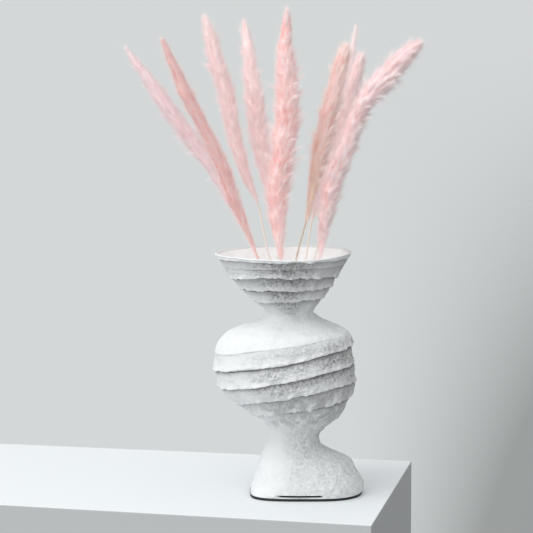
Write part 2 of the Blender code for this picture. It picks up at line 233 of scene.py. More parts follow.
vaseShape = {
    "sides": 300,
    "height": 300.0,
    "bottom": 3.3,
    "outerTop": 298.3,           # where the outer wall ends and the rim starts
    "rowStep": 1.7,              # along the outer wall
    "rowSlack": 0.35,            # how much longer a row may be, as a share of that step
    "measureStep": 0.05, "measureSlack": 0.01,
    "weld": 0.001,               # joins the tube's seam and ends
    "lipRows": 5,                # rows from each crease to its lip
    "creaseGap": 0.25,           # from each crease down to the row under it
    "footLevels": (3.5, 4.1),    # rows that round the foot's lower edge
    "innerTop": 2.0,             # from the vase's height down to the first inner row
    "innerStep": 9.0,
    "innerFineStep": 2.6,        # inside the bowl, where the rim shows it
    "innerFineAbove": 250.0,
    "innerGap": 3.0,             # at least, from the floor to the row above it
    "innerBumps": ({"height": 0.7, "size": 22.0, "seed": 3.0, "octaves": 2},
                   {"height": 0.25, "size": 6.0, "seed": 6.0, "octaves": 2}),
    "innerBumpsAbove": 232.0, "innerBumpsFade": 20.0,
    "neck": 222.0,
    "rimRows": 8,
    "rimHalfThickness": 1.8,
    "rimDrop": 1.6, "rimRise": 2.0,          # from the vase's height, and of the rim's round
    "rimSlope": 0.012,
    "rimWave": 1.3, "rimWaveAbove": 280.0,
    "rimWaves": ((0.6, 2, 0.6), (0.4, 3, 2.0)),
    "rimWobbles": ({"height": 0.35, "size": 9.0, "seed": 4.0, "octaves": 2},
                   {"height": 0.16, "size": 3.0, "seed": 9.0}),
    "footDepth": 0.89,           # as a share of its width
    "footOvalBelow": 40.0,
    "roundAbove": 62.0,
    "plainOval": 2.0,            # exponent of a plain oval, which the foot's exceeds
    "footSquareness": 3.3,
    "footLeftSquarer": 0.7,
    "footRound": 2.5, "footInset": 0.4,      # how high and how far the foot's lower edge is drawn in
    "unevenness": 0.008,
    "unevenWaves": ((1.0, 2, 40.0), (0.6, 3, -25.0)),      # the last is the rise that twists it by a radian
    "noiseRadius": 60.0,         # round which the plaster's noise is laid
    "settleRounds": 14,          # to find a sloping row's height at each angle
    "slopeReach": 0.5,           # up and down, for the wall's slope
    "smoothAngle": 55.0,
    # height, centre's offset in x and half-width
    "outside": [(0.0, 19.8, 69.8), (6.0, 20.8, 69.6), (14.0, 22.7, 67.9), (30.0, 21.1, 61.3),
                (42.0, 18.7, 55.3), (50.0, 12.4, 45.3), (60.0, 4.8, 33.8), (70.0, 4.0, 31.0),
                (78.0, 4.5, 32.4), (86.0, 8.9, 38.8), (93.5, 12.0, 44.5), (103.0, 6.4, 58.0),
                (114.0, 2.2, 68.0), (126.0, -3.3, 79.3), (140.0, -5.5, 84.9), (157.0, -7.2, 86.5),
                (172.0, -8.0, 85.4), (184.0, -6.8, 84.0), (194.0, -4.1, 81.0), (202.0, -2.0, 74.2),
                (208.0, -1.2, 61.4), (214.0, 3.2, 45.2), (220.0, 1.8, 34.6), (226.0, -0.2, 29.0),
                (232.0, -0.6, 32.0), (242.0, -4.1, 42.3), (257.0, -6.1, 54.6), (270.0, -8.2, 64.3),
                (288.0, -9.1, 76.0), (300.0, -9.0, 83.6)],
    "inside": [(11.5, 21.5, 53.5), (26.0, 21.0, 50.0), (40.0, 18.0, 43.0), (50.0, 11.5, 33.0),
               (60.0, 5.5, 24.0), (70.0, 4.2, 22.0), (80.0, 6.0, 24.5), (90.0, 9.0, 32.0),
               (102.0, 7.0, 47.0), (116.0, 1.0, 62.0), (136.0, -5.0, 76.0), (160.0, -7.0, 78.5),
               (184.0, -5.0, 75.0), (199.0, -2.0, 64.0), (207.5, 0.0, 40.0), (216.0, 0.5, 23.0),
               (226.0, 0.0, 20.5), (236.0, -2.0, 28.0), (250.0, -5.5, 44.5), (272.0, -8.2, 62.0),
               (300.0, -9.0, 80.0)],
}

# Each ridge: its crease's level, how far its lip stands out, the crease's slopes in x and y,
# the bearing where the lip is strongest and the share lost on the far side
Ridge = namedtuple("Ridge", "level lip slopeX slopeY bearing lost")

plasterRidges = {
    "belly": [Ridge(109.5, 1.8, 0.143, -0.020, -40.0, 1.0), Ridge(125.2, 2.8, 0.189, -0.068, -60.0, 0.8),
              Ridge(148.5, 3.2, 0.184, -0.024, -70.0, 0.3), Ridge(170.5, 3.2, 0.200, -0.024, -50.0, 0.3),
              Ridge(187.5, 0.6, 0.165, -0.058, -150.0, 1.0)],
    "bowl": [Ridge(241.5, 1.8, 0.055, -0.060, -70.0, 0.6), Ridge(257.3, 2.6, 0.040, -0.018, -70.0, 0.3),
             Ridge(269.4, 3.2, 0.016, -0.112, -90.0, 0.2), Ridge(282.5, 0.7, 0.030, -0.060, -50.0, 1.0),
             Ridge(293.6, 1.5, 0.010, -0.030, -90.0, 0.3)],
    "bandTops": (202.0, vaseShape["outerTop"]),
    "flatRows": [(71.0, 0.0, 0.0), (222.0, 0.0, 0.0), (231.0, 0.0, 0.0)],    # level, slopes in x and y
    "drop": 2.4,                 # from a crease up to its lip
    "bluntness": 0.75,           # of the lip's swell between the two
    "back": 0.3, "fade": 4.2,    # the share of the lip that fades slowly above it, and how fast the rest does
    "wander": 0.9,               # how far a crease wanders up and down, in long waves
    "wanderWaves": ((0.6, 2, 1.0), (0.4, 5, 1.7)),
    "waver": {"height": 0.6, "size": 13.0, "seed": 7.0},                   # and in short ones
    "undercut": 0.9, "undercutLip": 2.4,     # how deep a crease is cut back, and the lip it is full from
    "droop": 1.3, "droopLip": 3.2,           # how far the lip hangs over the crease, likewise
    "droopRise": 1.5, "droopSpread": 1.2,
    "ragged": {"height": 0.5, "size": 9.0, "seed": 2.0, "octaves": 2},     # uneven share of the lip
    "raggedLimits": (0.25, 1.9),
    "fringe": {"height": 0.6, "size": 3.6, "seed": 6.0},                   # how unevenly the lip's edge hangs
    "flatness": 0.3,             # of those three noises, which run along the ridges
    # painted shade along each crease and under each lip, and a painted highlight along each lip's edge
    "darkRise": 0.3, "darkSpread": 0.9, "darkLip": 2.5,      # where a crease is dark
    "shade": 0.36, "shadeDrop": 4.4,                # how dark the wall is under a lip, and how far down
    "highlightRise": 0.3, "highlightSpread": 1.5,             # where a lip is pale, from its highest line
}

footCrack = {
    "low": 5.1, "high": 7.1,     # its two edges
    "slack": 0.01,               # within which its rows are found
    "lipStep": 0.12,             # from each edge to the row outside it
    "depth": 4.0,
    "from": -19.0, "fullFrom": -9.0, "fullTo": 34.0, "to": 42.0,   # in x, along the front
}

plasterGrit = {
    # level and roughness of the surface, joined by straight lines
    "levels": [(0, 0.36), (30, 0.42), (62, 0.46), (90, 0.42), (106, 0.42), (128, 0.55), (146, 0.85),
               (166, 0.8), (180, 0.55), (186, 0.4), (190, 0.12), (214, 0.15), (224, 0.4), (233, 0.75),
               (242, 1.15), (290, 1.25), (297, 0.5), (300, 0.15)],
    "smoothBearing": 180.0, "smoothShare": 0.65,    # the side where the belly was wiped smoother
    "smoothSpread": 1.4,
    "bowlSmoothShare": 0.72, "bowlFade": 8.0,       # and on both sides of the bowl
    # roughness of the rim and inner wall, and how strongly the inner wall is painted lighter, as painted
    # light
    "inside": 0.15, "insidePaintedLight": 1.6,
    "bareByLips": 0.5,           # how much smoother a band is towards the lip at its foot
    "bareReach": 0.55, "bareFade": 0.5,             # in shares of the band
    "lastCreaseRise": 6.0, "aboveAll": 400.0,
    "bandsFadeIn": 10.0, "bandsEnd": 297.0, "bandsFadeOut": 4.0,
    "patch": {"height": 0.45, "size": 30.0, "seed": 17.0, "octaves": 2},
    "lump": {"height": 1.0, "size": 24.0, "seed": 11.0, "octaves": 2},
    "knob": {"height": 0.6, "size": 8.0, "seed": 5.0, "octaves": 2}, "knobLeast": 0.5,
    "grain": {"height": 1.05, "size": 3.3, "seed": 8.0, "octaves": 2, "gain": 0.7},
}

plasterDrips = {
    # runs of plaster down the lower belly: how far out, how wide, and how much longer than wide
    "height": 3.0, "size": 10.0, "seed": 13.0, "octaves": 2, "length": 4.0,
    "from": 84.0, "to": 134.0, "fade": 12.0,
    "bearing": -125.0, "facing": 0.5, "least": 0.35,         # where there are most, and the share elsewhere
    # painted shade between the drips: how dark it is, and how fast it comes in
    "shade": 0.25, "contrast": 2.0,                 # how dark it is between them
}


def sectionAt(table, heights):
    # centre, half-width and half-depth on a smooth curve through the table's rows
    rows = np.array(table, float)
    heights = np.clip(heights, rows[0, 0], rows[-1, 0])
    low = np.clip(np.searchsorted(rows[:, 0], heights, side="right") - 1, 0, len(rows) - 2)
    high = low + 1
    before, after = np.maximum(low - 1, 0), np.minimum(high + 1, len(rows) - 1)
    span = rows[high, 0] - rows[low, 0]
    t = (heights - rows[low, 0]) / span
    found = []
    for column in (1, 2):
        riseLow = (rows[high, column] - rows[before, column]) / (rows[high, 0] - rows[before, 0])
        riseHigh = (rows[after, column] - rows[low, column]) / (rows[after, 0] - rows[low, 0])
        found.append((2 * t**3 - 3 * t**2 + 1) * rows[low, column] + (t**3 - 2 * t**2 + t) * span * riseLow
                     + (3 * t**2 - 2 * t**3) * rows[high, column] + (t**3 - t**2) * span * riseHigh)
    centre, halfWidth = found
    shape = vaseShape
    roundShare = ease((heights - shape["footOvalBelow"]) / (shape["roundAbove"] - shape["footOvalBelow"]))
    return centre, halfWidth, halfWidth * (shape["footDepth"] + (1 - shape["footDepth"]) * roundShare)


def outline(angles, heights, centre, halfWidth, halfDepth):
    # the foot is a squarish oval, the rest is round and a little uneven
    shape = vaseShape
    squareShare = np.maximum(0.0, 1.0 - heights / shape["roundAbove"])
    squarer = shape["footSquareness"] - shape["plainOval"] - shape["footLeftSquarer"] * np.cos(angles)
    squareness = shape["plainOval"] + squareShare * squarer
    waves = [(height, count, heights / twist) for height, count, twist in shape["unevenWaves"]]
    uneven = 1.0 + shape["unevenness"] * swell(angles, waves)
    across = np.copysign(np.abs(np.cos(angles)) ** (2 / squareness), np.cos(angles))
    deep = np.copysign(np.abs(np.sin(angles)) ** (2 / squareness), np.sin(angles))
    return centre + halfWidth * uneven * across, halfDepth * uneven * deep


def slopesAt(levels):
    ridges = plasterRidges["belly"] + plasterRidges["bowl"]
    known = [(ridge.level, ridge.slopeX, ridge.slopeY) for ridge in ridges] + plasterRidges["flatRows"]
    known = np.array(sorted(known + [(vaseShape["height"], vaseShape["rimSlope"], 0.0)]))
    return np.interp(levels, known[:, 0], known[:, 1]), np.interp(levels, known[:, 0], known[:, 2])


def wallPlace(levels, angles, relief, hang):
    # points of sloping rows of the outer wall, moved out square to it by the relief and down it by the hang
    shape = vaseShape
    slopeX, slopeY = slopesAt(levels)
    heights = np.array(levels, float)
    for _ in range(shape["settleRounds"]):
        centre, halfWidth, halfDepth = sectionAt(shape["outside"], heights)
        x, y = outline(angles, heights, centre, halfWidth, halfDepth)
        heights = (heights + levels + slopeX * (x - centre) + slopeY * y) / 2
    above = sectionAt(shape["outside"], heights + shape["slopeReach"])[1]
    below = sectionAt(shape["outside"], heights - shape["slopeReach"])[1]
    wider = above - below
    size = np.hypot(1.0, wider)
    out, down = (relief - hang * wider) / size, (relief * wider + hang) / size
    return np.stack([x + out * np.cos(angles), y + out * np.sin(angles), heights - down], -1)


def strayOf(ridge, angles, waver):
    shape = plasterRidges
    waves = [(height, count, start * ridge.level) for height, count, start in shape["wanderWaves"]]
    return shape["wander"] * swell(angles, waves) + shape["waver"]["height"] * waver


def ridgeRelief(levels, angles, raggedness, fringe, waver):
    # for each point: how far its crease wanders up or down, how far the layered plaster stands out, how far
    # its lip hangs, how much painted shade it gets in a crease or under a lip, and how much painted highlight
    # near a lip's edge
    stray, relief, hang, paintedShade, edge = (np.zeros_like(levels) for _ in range(5))
    shape = plasterRidges
    for ridges, top in zip((shape["belly"], shape["bowl"]), shape["bandTops"]):
        ends = [ridge.level for ridge in ridges[1:]] + [top]
        for i, (ridge, end) in enumerate(zip(ridges, ends)):
            inBand = (levels >= ridge.level) & (levels < end)
            rise = levels - ridge.level
            along = rise / (end - ridge.level)
            above = strayOf(ridges[i + 1], angles, waver) if i + 1 < len(ridges) else 0.0
            stray = np.where(inBand, (1 - along) * strayOf(ridge, angles, waver) + along * above, stray)

            ownShare = 1 - ridge.lost * (1 - np.cos(angles - math.radians(ridge.bearing))) / 2
            ragged = np.clip(1 + shape["ragged"]["height"] * raggedness, *shape["raggedLimits"])
            lip = ridge.lip * ownShare * ragged
            start = np.clip(rise / shape["drop"], 0, 1)
            fall = np.clip((rise - shape["drop"]) / (end - ridge.level - shape["drop"]), 0, 1)
            undercut = shape["undercut"] * min(1.0, (ridge.lip / shape["undercutLip"]) ** 2)
            climbing = lip * np.sin(start * math.pi / 2) ** shape["bluntness"]
            climbing = -undercut * (1 - start) ** 2 * ownShare + climbing
            falling = (1 - shape["back"]) * np.exp(-shape["fade"] * fall) * (1 - fall)
            falling = lip * (falling + shape["back"] * (1 - fall**3))
            relief = np.where(inBand, np.where(rise < shape["drop"], climbing, falling), relief)

            droop = shape["droop"] + shape["fringe"]["height"] * fringe
            droop = droop * bell(rise - shape["droopRise"], shape["droopSpread"])
            hang = np.where(inBand, droop * ownShare * min(1.0, ridge.lip / shape["droopLip"]), hang)

            # painted shade: dark along each crease, and fading down the wall under each lip
            full = min(1.0, ridge.lip / shape["darkLip"])
            dark = bell(rise - shape["darkRise"], shape["darkSpread"]) * ownShare * full
            under = np.where(rise < 0, bell(rise, shape["shadeDrop"]), 0.0)
            under = shape["shade"] * under * ownShare * full
            paintedShade = np.maximum(paintedShade, np.maximum(dark, under))
            # painted highlight along the edge of each lip
            lipEdgeHighlight = bell(rise - shape["drop"] - shape["highlightRise"], shape["highlightSpread"]) * ownShare * full
            edge = np.maximum(edge, lipEdgeHighlight)
    return stray, relief, hang, paintedShade, edge


def wallLevels():
    # rows of the outer wall, even along its length, with close rows over each crease
    shape, drop = vaseShape, plasterRidges["drop"]
    steps = np.arange(shape["bottom"], shape["outerTop"] + shape["measureSlack"], shape["measureStep"])
    width = sectionAt(shape["outside"], steps)[1]
    length = np.concatenate([[0], np.cumsum(np.hypot(np.diff(steps), np.diff(width)))])
    keys = [shape["bottom"], *shape["footLevels"], footCrack["low"] - footCrack["lipStep"], footCrack["low"],
            footCrack["high"], footCrack["high"] + footCrack["lipStep"], shape["outerTop"]]
    for ridge in plasterRidges["belly"] + plasterRidges["bowl"]:
        keys += [ridge.level - shape["creaseGap"], ridge.level]
        keys += [ridge.level + drop * k / shape["lipRows"] for k in range(1, shape["lipRows"] + 1)]
    keys = sorted(keys)
    levels = []
    for low, high in zip(keys, keys[1:]):
        span = np.interp(high, steps, length) - np.interp(low, steps, length)
        count = max(1, int(math.ceil(span / shape["rowStep"] - shape["rowSlack"])))
        along = np.interp(low, steps, length) + span * np.arange(count) / count
        levels += list(np.interp(along, length, steps))
    return np.array(levels + [keys[-1]])


def innerLevels():
    shape = vaseShape
    floor, level, levels = shape["inside"][0][0], shape["height"] - shape["innerTop"], []
    while level > floor + shape["innerGap"]:
        levels.append(level)
        level -= shape["innerFineStep"] if level > shape["innerFineAbove"] else shape["innerStep"]
    return np.array(levels + [floor])


def rimLift(levels, angles, x):
    shape = vaseShape
    share = np.maximum(0.0, (levels - shape["rimWaveAbove"]) / (shape["height"] - shape["rimWaveAbove"]))
    return share * (shape["rimSlope"] * x + shape["rimWave"] * swell(angles, shape["rimWaves"]))


def gritAt(levels, angles, patch):
    shape = plasterGrit
    known = np.array(shape["levels"], float)
    facing = np.cos(angles - math.radians(shape["smoothBearing"])) * shape["smoothSpread"]
    inBowl = ease((levels - vaseShape["neck"]) / shape["bowlFade"])
    wiped = (1 - inBowl) * shape["smoothShare"] * ease(facing)
    wiped = wiped + inBowl * shape["bowlSmoothShare"] * ease(np.abs(facing))
    *lower, last = (ridge.level for ridge in plasterRidges["belly"])
    upper = [ridge.level for ridge in plasterRidges["bowl"]]
    creases = np.array([0.0, *lower, last + shape["lastCreaseRise"], *upper, shape["aboveAll"]])
    low = np.clip(np.searchsorted(creases, levels, side="right") - 1, 0, len(creases) - 2)
    along = (levels - creases[low]) / (creases[low + 1] - creases[low])
    inBands = ease((levels - lower[0]) / shape["bandsFadeIn"])
    inBands = inBands * ease((shape["bandsEnd"] - levels) / shape["bandsFadeOut"])
    patches = shape["patch"]["height"] * patch
    bare = shape["bareByLips"] * inBands * ease((shape["bareReach"] + patches - along) / shape["bareFade"])
    return np.interp(levels, known[:, 0], known[:, 1]) * (1 - wiped) * (1 - bare)


def outerWall(levels, angles):
    # its points, and for each one: how rough, how much painted shade in creases, under lips and between
    # drips, how much painted highlight by a lip's edge, and how much painted shade in the foot's crack
    shape, ridges, grit, drip, slot = vaseShape, plasterRidges, plasterGrit, plasterDrips, footCrack
    radius = shape["noiseRadius"]
    around = np.stack([radius * np.cos(angles), radius * np.sin(angles), levels], -1)
    flat = around * np.array([1.0, 1.0, ridges["flatness"]])
    noises = [cloud(flat, ridges[layer]) for layer in ("ragged", "fringe", "waver")]
    stray, relief, hang, paintedShade, lip = ridgeRelief(levels, angles, *noises)
    at = wallPlace(levels + stray, angles, relief, hang)
    rough = gritAt(levels, angles, cloud(around, grit["patch"]))
    relief = relief + grit["lump"]["height"] * cloud(at, grit["lump"])
    relief = relief + grit["knob"]["height"] * (grit["knobLeast"] + rough) * cloud(at, grit["knob"])
    relief = relief + grit["grain"]["height"] * rough * cloud(at, grit["grain"])

    # drips down the lower belly
    dripping = ease((levels - drip["from"]) / drip["fade"]) * ease((drip["to"] - levels) / drip["fade"])
    facing = ease(drip["facing"] + np.cos(angles - math.radians(drip["bearing"])))
    dripping = dripping * (drip["least"] + (1 - drip["least"]) * facing)
    drips = cloud(at * np.array([1.0, 1.0, 1 / drip["length"]]), drip)
    relief = relief + drip["height"] * dripping * np.maximum(drips, 0)
    # painted shade in the low parts between the drips
    between = np.clip(-drip["contrast"] * drips, 0, 1)
    paintedShade = np.maximum(paintedShade, drip["shade"] * dripping * between)

    # the crack above the pad, on the front alone: cut in, and painted near-black as painted shade
    inCrack = (levels > slot["low"] - slot["slack"]) & (levels < slot["high"] + slot["slack"])
    inCrack = inCrack & (at[:, 1] < 0)
    gaping = ease((at[:, 0] - slot["from"]) / (slot["fullFrom"] - slot["from"]))
    gaping = gaping * ease((slot["to"] - at[:, 0]) / (slot["to"] - slot["fullTo"]))
    crackShade = np.where(inCrack, gaping, 0.0)
    relief = np.where(inCrack, relief - slot["depth"] * gaping, relief)

    nearFoot = ease((levels - shape["bottom"]) / shape["footRound"])
    relief = np.where(inCrack, relief, relief * nearFoot - shape["footInset"] * (1 - nearFoot))
    at = wallPlace(levels + stray, angles, relief, hang)
    at[:, 2] += rimLift(levels, angles, 0.0)     # its rows slope with the rim already
    at[:, 2] = np.maximum(at[:, 2], shape["bottom"])
    return at, rough, paintedShade, lip, crackShade


def rimTop(turns, angles):
    # the rim, turned over from the outer wall to the inner one
    shape = vaseShape
    top = np.full(len(angles), shape["height"])
    centre, halfWidth, _ = sectionAt(shape["outside"], top)
    reach = halfWidth - shape["rimHalfThickness"] + shape["rimHalfThickness"] * np.cos(turns)
    x, y = outline(angles, top, centre, reach, reach)
    z = top - shape["rimDrop"] + shape["rimRise"] * np.sin(turns) + rimLift(top, angles, x)
    at = np.stack([x, y, z], -1)
    at[:, 2] += layered(at, shape["rimWobbles"])
    return at


def innerWall(levels, angles):
    shape = vaseShape
    x, y = outline(angles, levels, *sectionAt(shape["inside"], levels))
    at = np.stack([x, y, levels + rimLift(levels, angles, x)], -1)
    inBowl = ease((levels - shape["innerBumpsAbove"]) / shape["innerBumpsFade"])
    bump = layered(at, shape["innerBumps"]) * inBowl
    at[:, 0] -= bump * np.cos(angles)
    at[:, 1] -= bump * np.sin(angles)
    return at


def rolledTube(name, rows):
    # a grid rolled into a tube of radius 1, a unit from row to row, and closed to a point at both ends
    letGo()
    bpy.ops.mesh.primitive_grid_add(x_subdivisions=vaseShape["sides"], y_subdivisions=rows + 1, size=1.0)
    tube = christen(name)
    sheet = pointsOf(tube) + 0.5     # from 0 to 1 both ways
    turn, line = sheet[:, 0] * 2 * math.pi, np.rint(sheet[:, 1] * (rows + 1))
    ring = np.where((line > 0) & (line < rows + 1), 1.0, 0.0)
    places = np.stack([ring * np.cos(turn), ring * np.sin(turn), np.clip(line - 1, 0, rows - 1)], -1)
    placePoints(tube, places)
    bpy.ops.object.mode_set(mode="EDIT")
    bpy.ops.mesh.select_mode(type="VERT")
    bpy.ops.mesh.select_all(action="SELECT")
    bpy.ops.mesh.remove_doubles(threshold=vaseShape["weld"])
    bpy.ops.object.mode_set(mode="OBJECT")
    print("vase tube rolled in", rows, "rows,", len(tube.data.polygons), "faces")
    return tube


def vaseWall(finish):
    # the tube is thrown into shape: up the outer wall, over the rim and down the inner wall to the floor
    shape = vaseShape
    outer, inner = wallLevels(), innerLevels()
    rimTurns = np.linspace(0, math.pi, shape["rimRows"] + 2)[1:-1]
    wall = rolledTube("plaster_vase", len(outer) + len(rimTurns) + len(inner))
    tube = pointsOf(wall)
    row = np.rint(tube[:, 2]).astype(int)
    angles = np.arctan2(tube[:, 1], tube[:, 0])
    onOuter, onInner = row < len(outer), row >= len(outer) + len(rimTurns)
    onRim = ~onOuter & ~onInner
    places = np.zeros_like(tube)
    grit, paintedShade, lip, crackShade = (np.zeros(len(tube)) for _ in range(4))

    walled = outerWall(outer[row[onOuter]], angles[onOuter])
    places[onOuter], grit[onOuter], paintedShade[onOuter], lip[onOuter], crackShade[onOuter] = walled
    places[onRim] = rimTop(rimTurns[row[onRim] - len(outer)], angles[onRim])
    places[onInner] = innerWall(inner[row[onInner] - len(outer) - len(rimTurns)], angles[onInner])
    grit[~onOuter] = plasterGrit["inside"]
    # the lip mask smooths the inner wall's bump and paints the whole inner wall lighter, as painted light
    lip[onInner] = plasterGrit["insidePaintedLight"]

    atMiddle = np.hypot(tube[:, 0], tube[:, 1]) < 0.5      # the tube's radius is 1
    baseCentre = sectionAt(shape["outside"], np.array([0.0]))[0][0]
    floorCentre = sectionAt(shape["inside"], np.array([inner[-1]]))[0][0]
    places[atMiddle & (row == 0)] = (baseCentre, 0.0, shape["bottom"])
    places[atMiddle & (row > 0)] = (floorCentre, 0.0, inner[-1])
    placePoints(wall, places * mm)
    for name, values in {"grit": grit, "paintedShade": paintedShade, "lip": lip, "crackShade": crackShade}.items():
        paintAttribute(wall, name, values)
    dress(wall, finish)
    pick(wall)
    bpy.ops.object.shade_smooth_by_angle(angle=math.radians(shape["smoothAngle"]))
    print("vase shaped:", len(wall.data.vertices), "points")
    return wall


plasterLook = {
    # two plaster tones mixed at random, then the colours of painted shade in pits, of painted highlights, of
    # painted shade in creases and under lips, and of painted shade in the foot's crack
    "light": (0.775, 0.787, 0.79), "shaded": (0.735, 0.75, 0.755), "pitShadeColour": (0.18, 0.19, 0.192),
    "peakHighlight": (0.93, 0.935, 0.935), "paintedShade": (0.10, 0.105, 0.11), "crackShade": (0.006, 0.006, 0.006),
    "specular": 0.25,
    # each grain's scale per metre, its detail and its roughness
    "coarse": (285.0, 3.0, 0.7), "fine": (800.0, 3.0, 0.65), "patches": (28.0, 2.0, 0.5),
    "crumbScale": 260.0,
    # where each mask starts and how steeply it rises
    "crumbMask": (0.34, 6.0), "crumbPatches": (0.42, 5.0), "shadedMask": (0.4, 2.2),
    "grittyMask": (0.25, 1.5), "pitMask": (0.49, 9.0), "speckMask": (0.50, 18.0),
    "crumbsOnSmooth": 0.25,
    "coarseHeight": 4.4, "fineHeight": 2.2, "crumbHeight": 2.0,              # in millimetres
    "smoothHeight": 0.14, "gritHeight": 0.86,       # their share on smooth plaster, and what rough adds
    "lipFlattens": 0.3, "lipCleans": 0.6,
    # how the painted shade in pits, the painted highlights and the painted shade in creases, under lips and
    # in the crack are laid on
    "pitBase": 0.3, "pitFine": 1.4, "pitStrength": 0.8, "pitMost": 0.9,
    "speckCoarse": 0.6, "speckFine": 0.4, "speckPale": 0.9, "crumbHighlight": 0.7, "lipHighlightShare": 0.6,
    "hollowPower": 0.8, "hollowBase": 0.1, "hollowCoarse": 1.9, "hollowMost": 0.9,
    "crackStrength": 1.3,
    "roughness": 0.84, "roughnessCoarse": 0.14,
}


def plasterFinish():
    look = plasterLook
    made = Finish("hand_plaster", Metallic=0.0)
    made.set("Specular IOR Level", look["specular"])
    place = made.objectPlace()
    grit, paintedShade, lip, crackShade = (made.painted(name) for name in ("grit", "paintedShade", "lip", "crackShade"))
    coarse, fine, patches = (made.grain(place, *look[name]) for name in ("coarse", "fine", "patches"))
    crumbs = made.node("TexVoronoi", {"feature": "F1"}, {"Vector": place, "Scale": look["crumbScale"]},
                       result="Distance")
    dots = crumbs.below(*look["crumbMask"]) * patches.above(*look["crumbPatches"])
    dots = dots * (look["crumbsOnSmooth"] + grit).clipped()
    height = coarse * look["coarseHeight"] + fine * look["fineHeight"] + dots * look["crumbHeight"]
    height = height * (look["smoothHeight"] + look["gritHeight"] * grit)
    height = height * (1.0 - look["lipFlattens"] * lip).clipped()
    gritty = grit.above(*look["grittyMask"]) * (1.0 - look["lipCleans"] * lip).clipped()
    # painted shade in the grain's pits, where the bump is lowest
    pitShade = coarse.below(*look["pitMask"]) * (look["pitBase"] + look["pitFine"] * fine) * gritty
    # painted highlights on the grain's peaks
    peakHighlights = (coarse * look["speckCoarse"] + fine * look["speckFine"]).above(*look["speckMask"]) * gritty
    # pale: painted highlights on the grain's peaks, on the raised crumbs, along the lips' edges and over the
    # inner wall
    pale = peakHighlights * look["speckPale"] + dots * look["crumbHighlight"] + lip * look["lipHighlightShare"]
    # deep: the share of painted shade in creases, under lips and between drips, broken up by the coarse grain
    deep = paintedShade ** look["hollowPower"] * (look["hollowBase"] + coarse * look["hollowCoarse"])
    colour = made.mix(patches.above(*look["shadedMask"]), look["light"], look["shaded"])
    colour = made.mix((pitShade * look["pitStrength"]).clipped(0.0, look["pitMost"]), colour, look["pitShadeColour"])
    colour = made.mix(pale.clipped(), colour, look["peakHighlight"])
    colour = made.mix(deep.clipped() * look["hollowMost"], colour, look["paintedShade"])
    # painted shade in the foot's crack, near-black
    colour = made.mix((crackShade * look["crackStrength"]).clipped(), colour, look["crackShade"])
    made.set("Base Color", colour)
    made.set("Roughness", (look["roughness"] + look["roughnessCoarse"] * coarse).clipped())
    made.set("Normal", made.bumped(height))
    return made.material


rubberPad = {
    "thickness": 3.0, "inset": 0.4, "sides": 160,
    "edge": 0.7, "edgeSegments": 3, "edgeAngle": 60.0, "smoothAngle": 40.0,
    "dark": (0.008, 0.008, 0.009), "worn": (0.018, 0.018, 0.020),
    "grain": (900.0, 2.0),
    "roughness": 0.62, "roughnessGrain": 0.25,
    "bumpHeight": 0.25, "bumpStrength": 0.6,
}


def footPad(finish):
    shape = rubberPad
    letGo()
    bpy.ops.mesh.primitive_cylinder_add(vertices=shape["sides"], radius=1.0, depth=1.0, location=(0, 0, 0.5))
    pad = christen("rubber_pad")
    pad.data.transform(pad.matrix_world)
    pad.matrix_world.identity()
    disc = pointsOf(pad)
    ground = np.zeros(len(disc))
    centre, halfWidth, halfDepth = sectionAt(vaseShape["outside"], ground)
    angles = np.arctan2(disc[:, 1], disc[:, 0])
    x, y = outline(angles, ground, centre, halfWidth - shape["inset"], halfDepth - shape["inset"])
    placePoints(pad, np.stack([x, y, disc[:, 2] * shape["thickness"]], -1) * mm)
    rounding = pad.modifiers.new("edge", "BEVEL")
    rounding.width = shape["edge"] * mm
    rounding.segments = shape["edgeSegments"]
    rounding.angle_limit = math.radians(shape["edgeAngle"])
    pick(pad)
    bpy.ops.object.modifier_apply(modifier="edge")
    bpy.ops.object.shade_smooth_by_angle(angle=math.radians(shape["smoothAngle"]))
    dress(pad, finish)
    return pad


def rubberFinish():
    look = rubberPad
    made = Finish("dark_rubber", Metallic=0.0)
    fine = made.grain(made.objectPlace(), *look["grain"])
    made.set("Base Color", made.mix(fine, look["dark"], look["worn"]))
    made.set("Roughness", look["roughness"] + look["roughnessGrain"] * fine)
    made.set("Normal", made.bumped(fine * look["bumpHeight"], look["bumpStrength"]))
    return made.material


# the pampas stalks

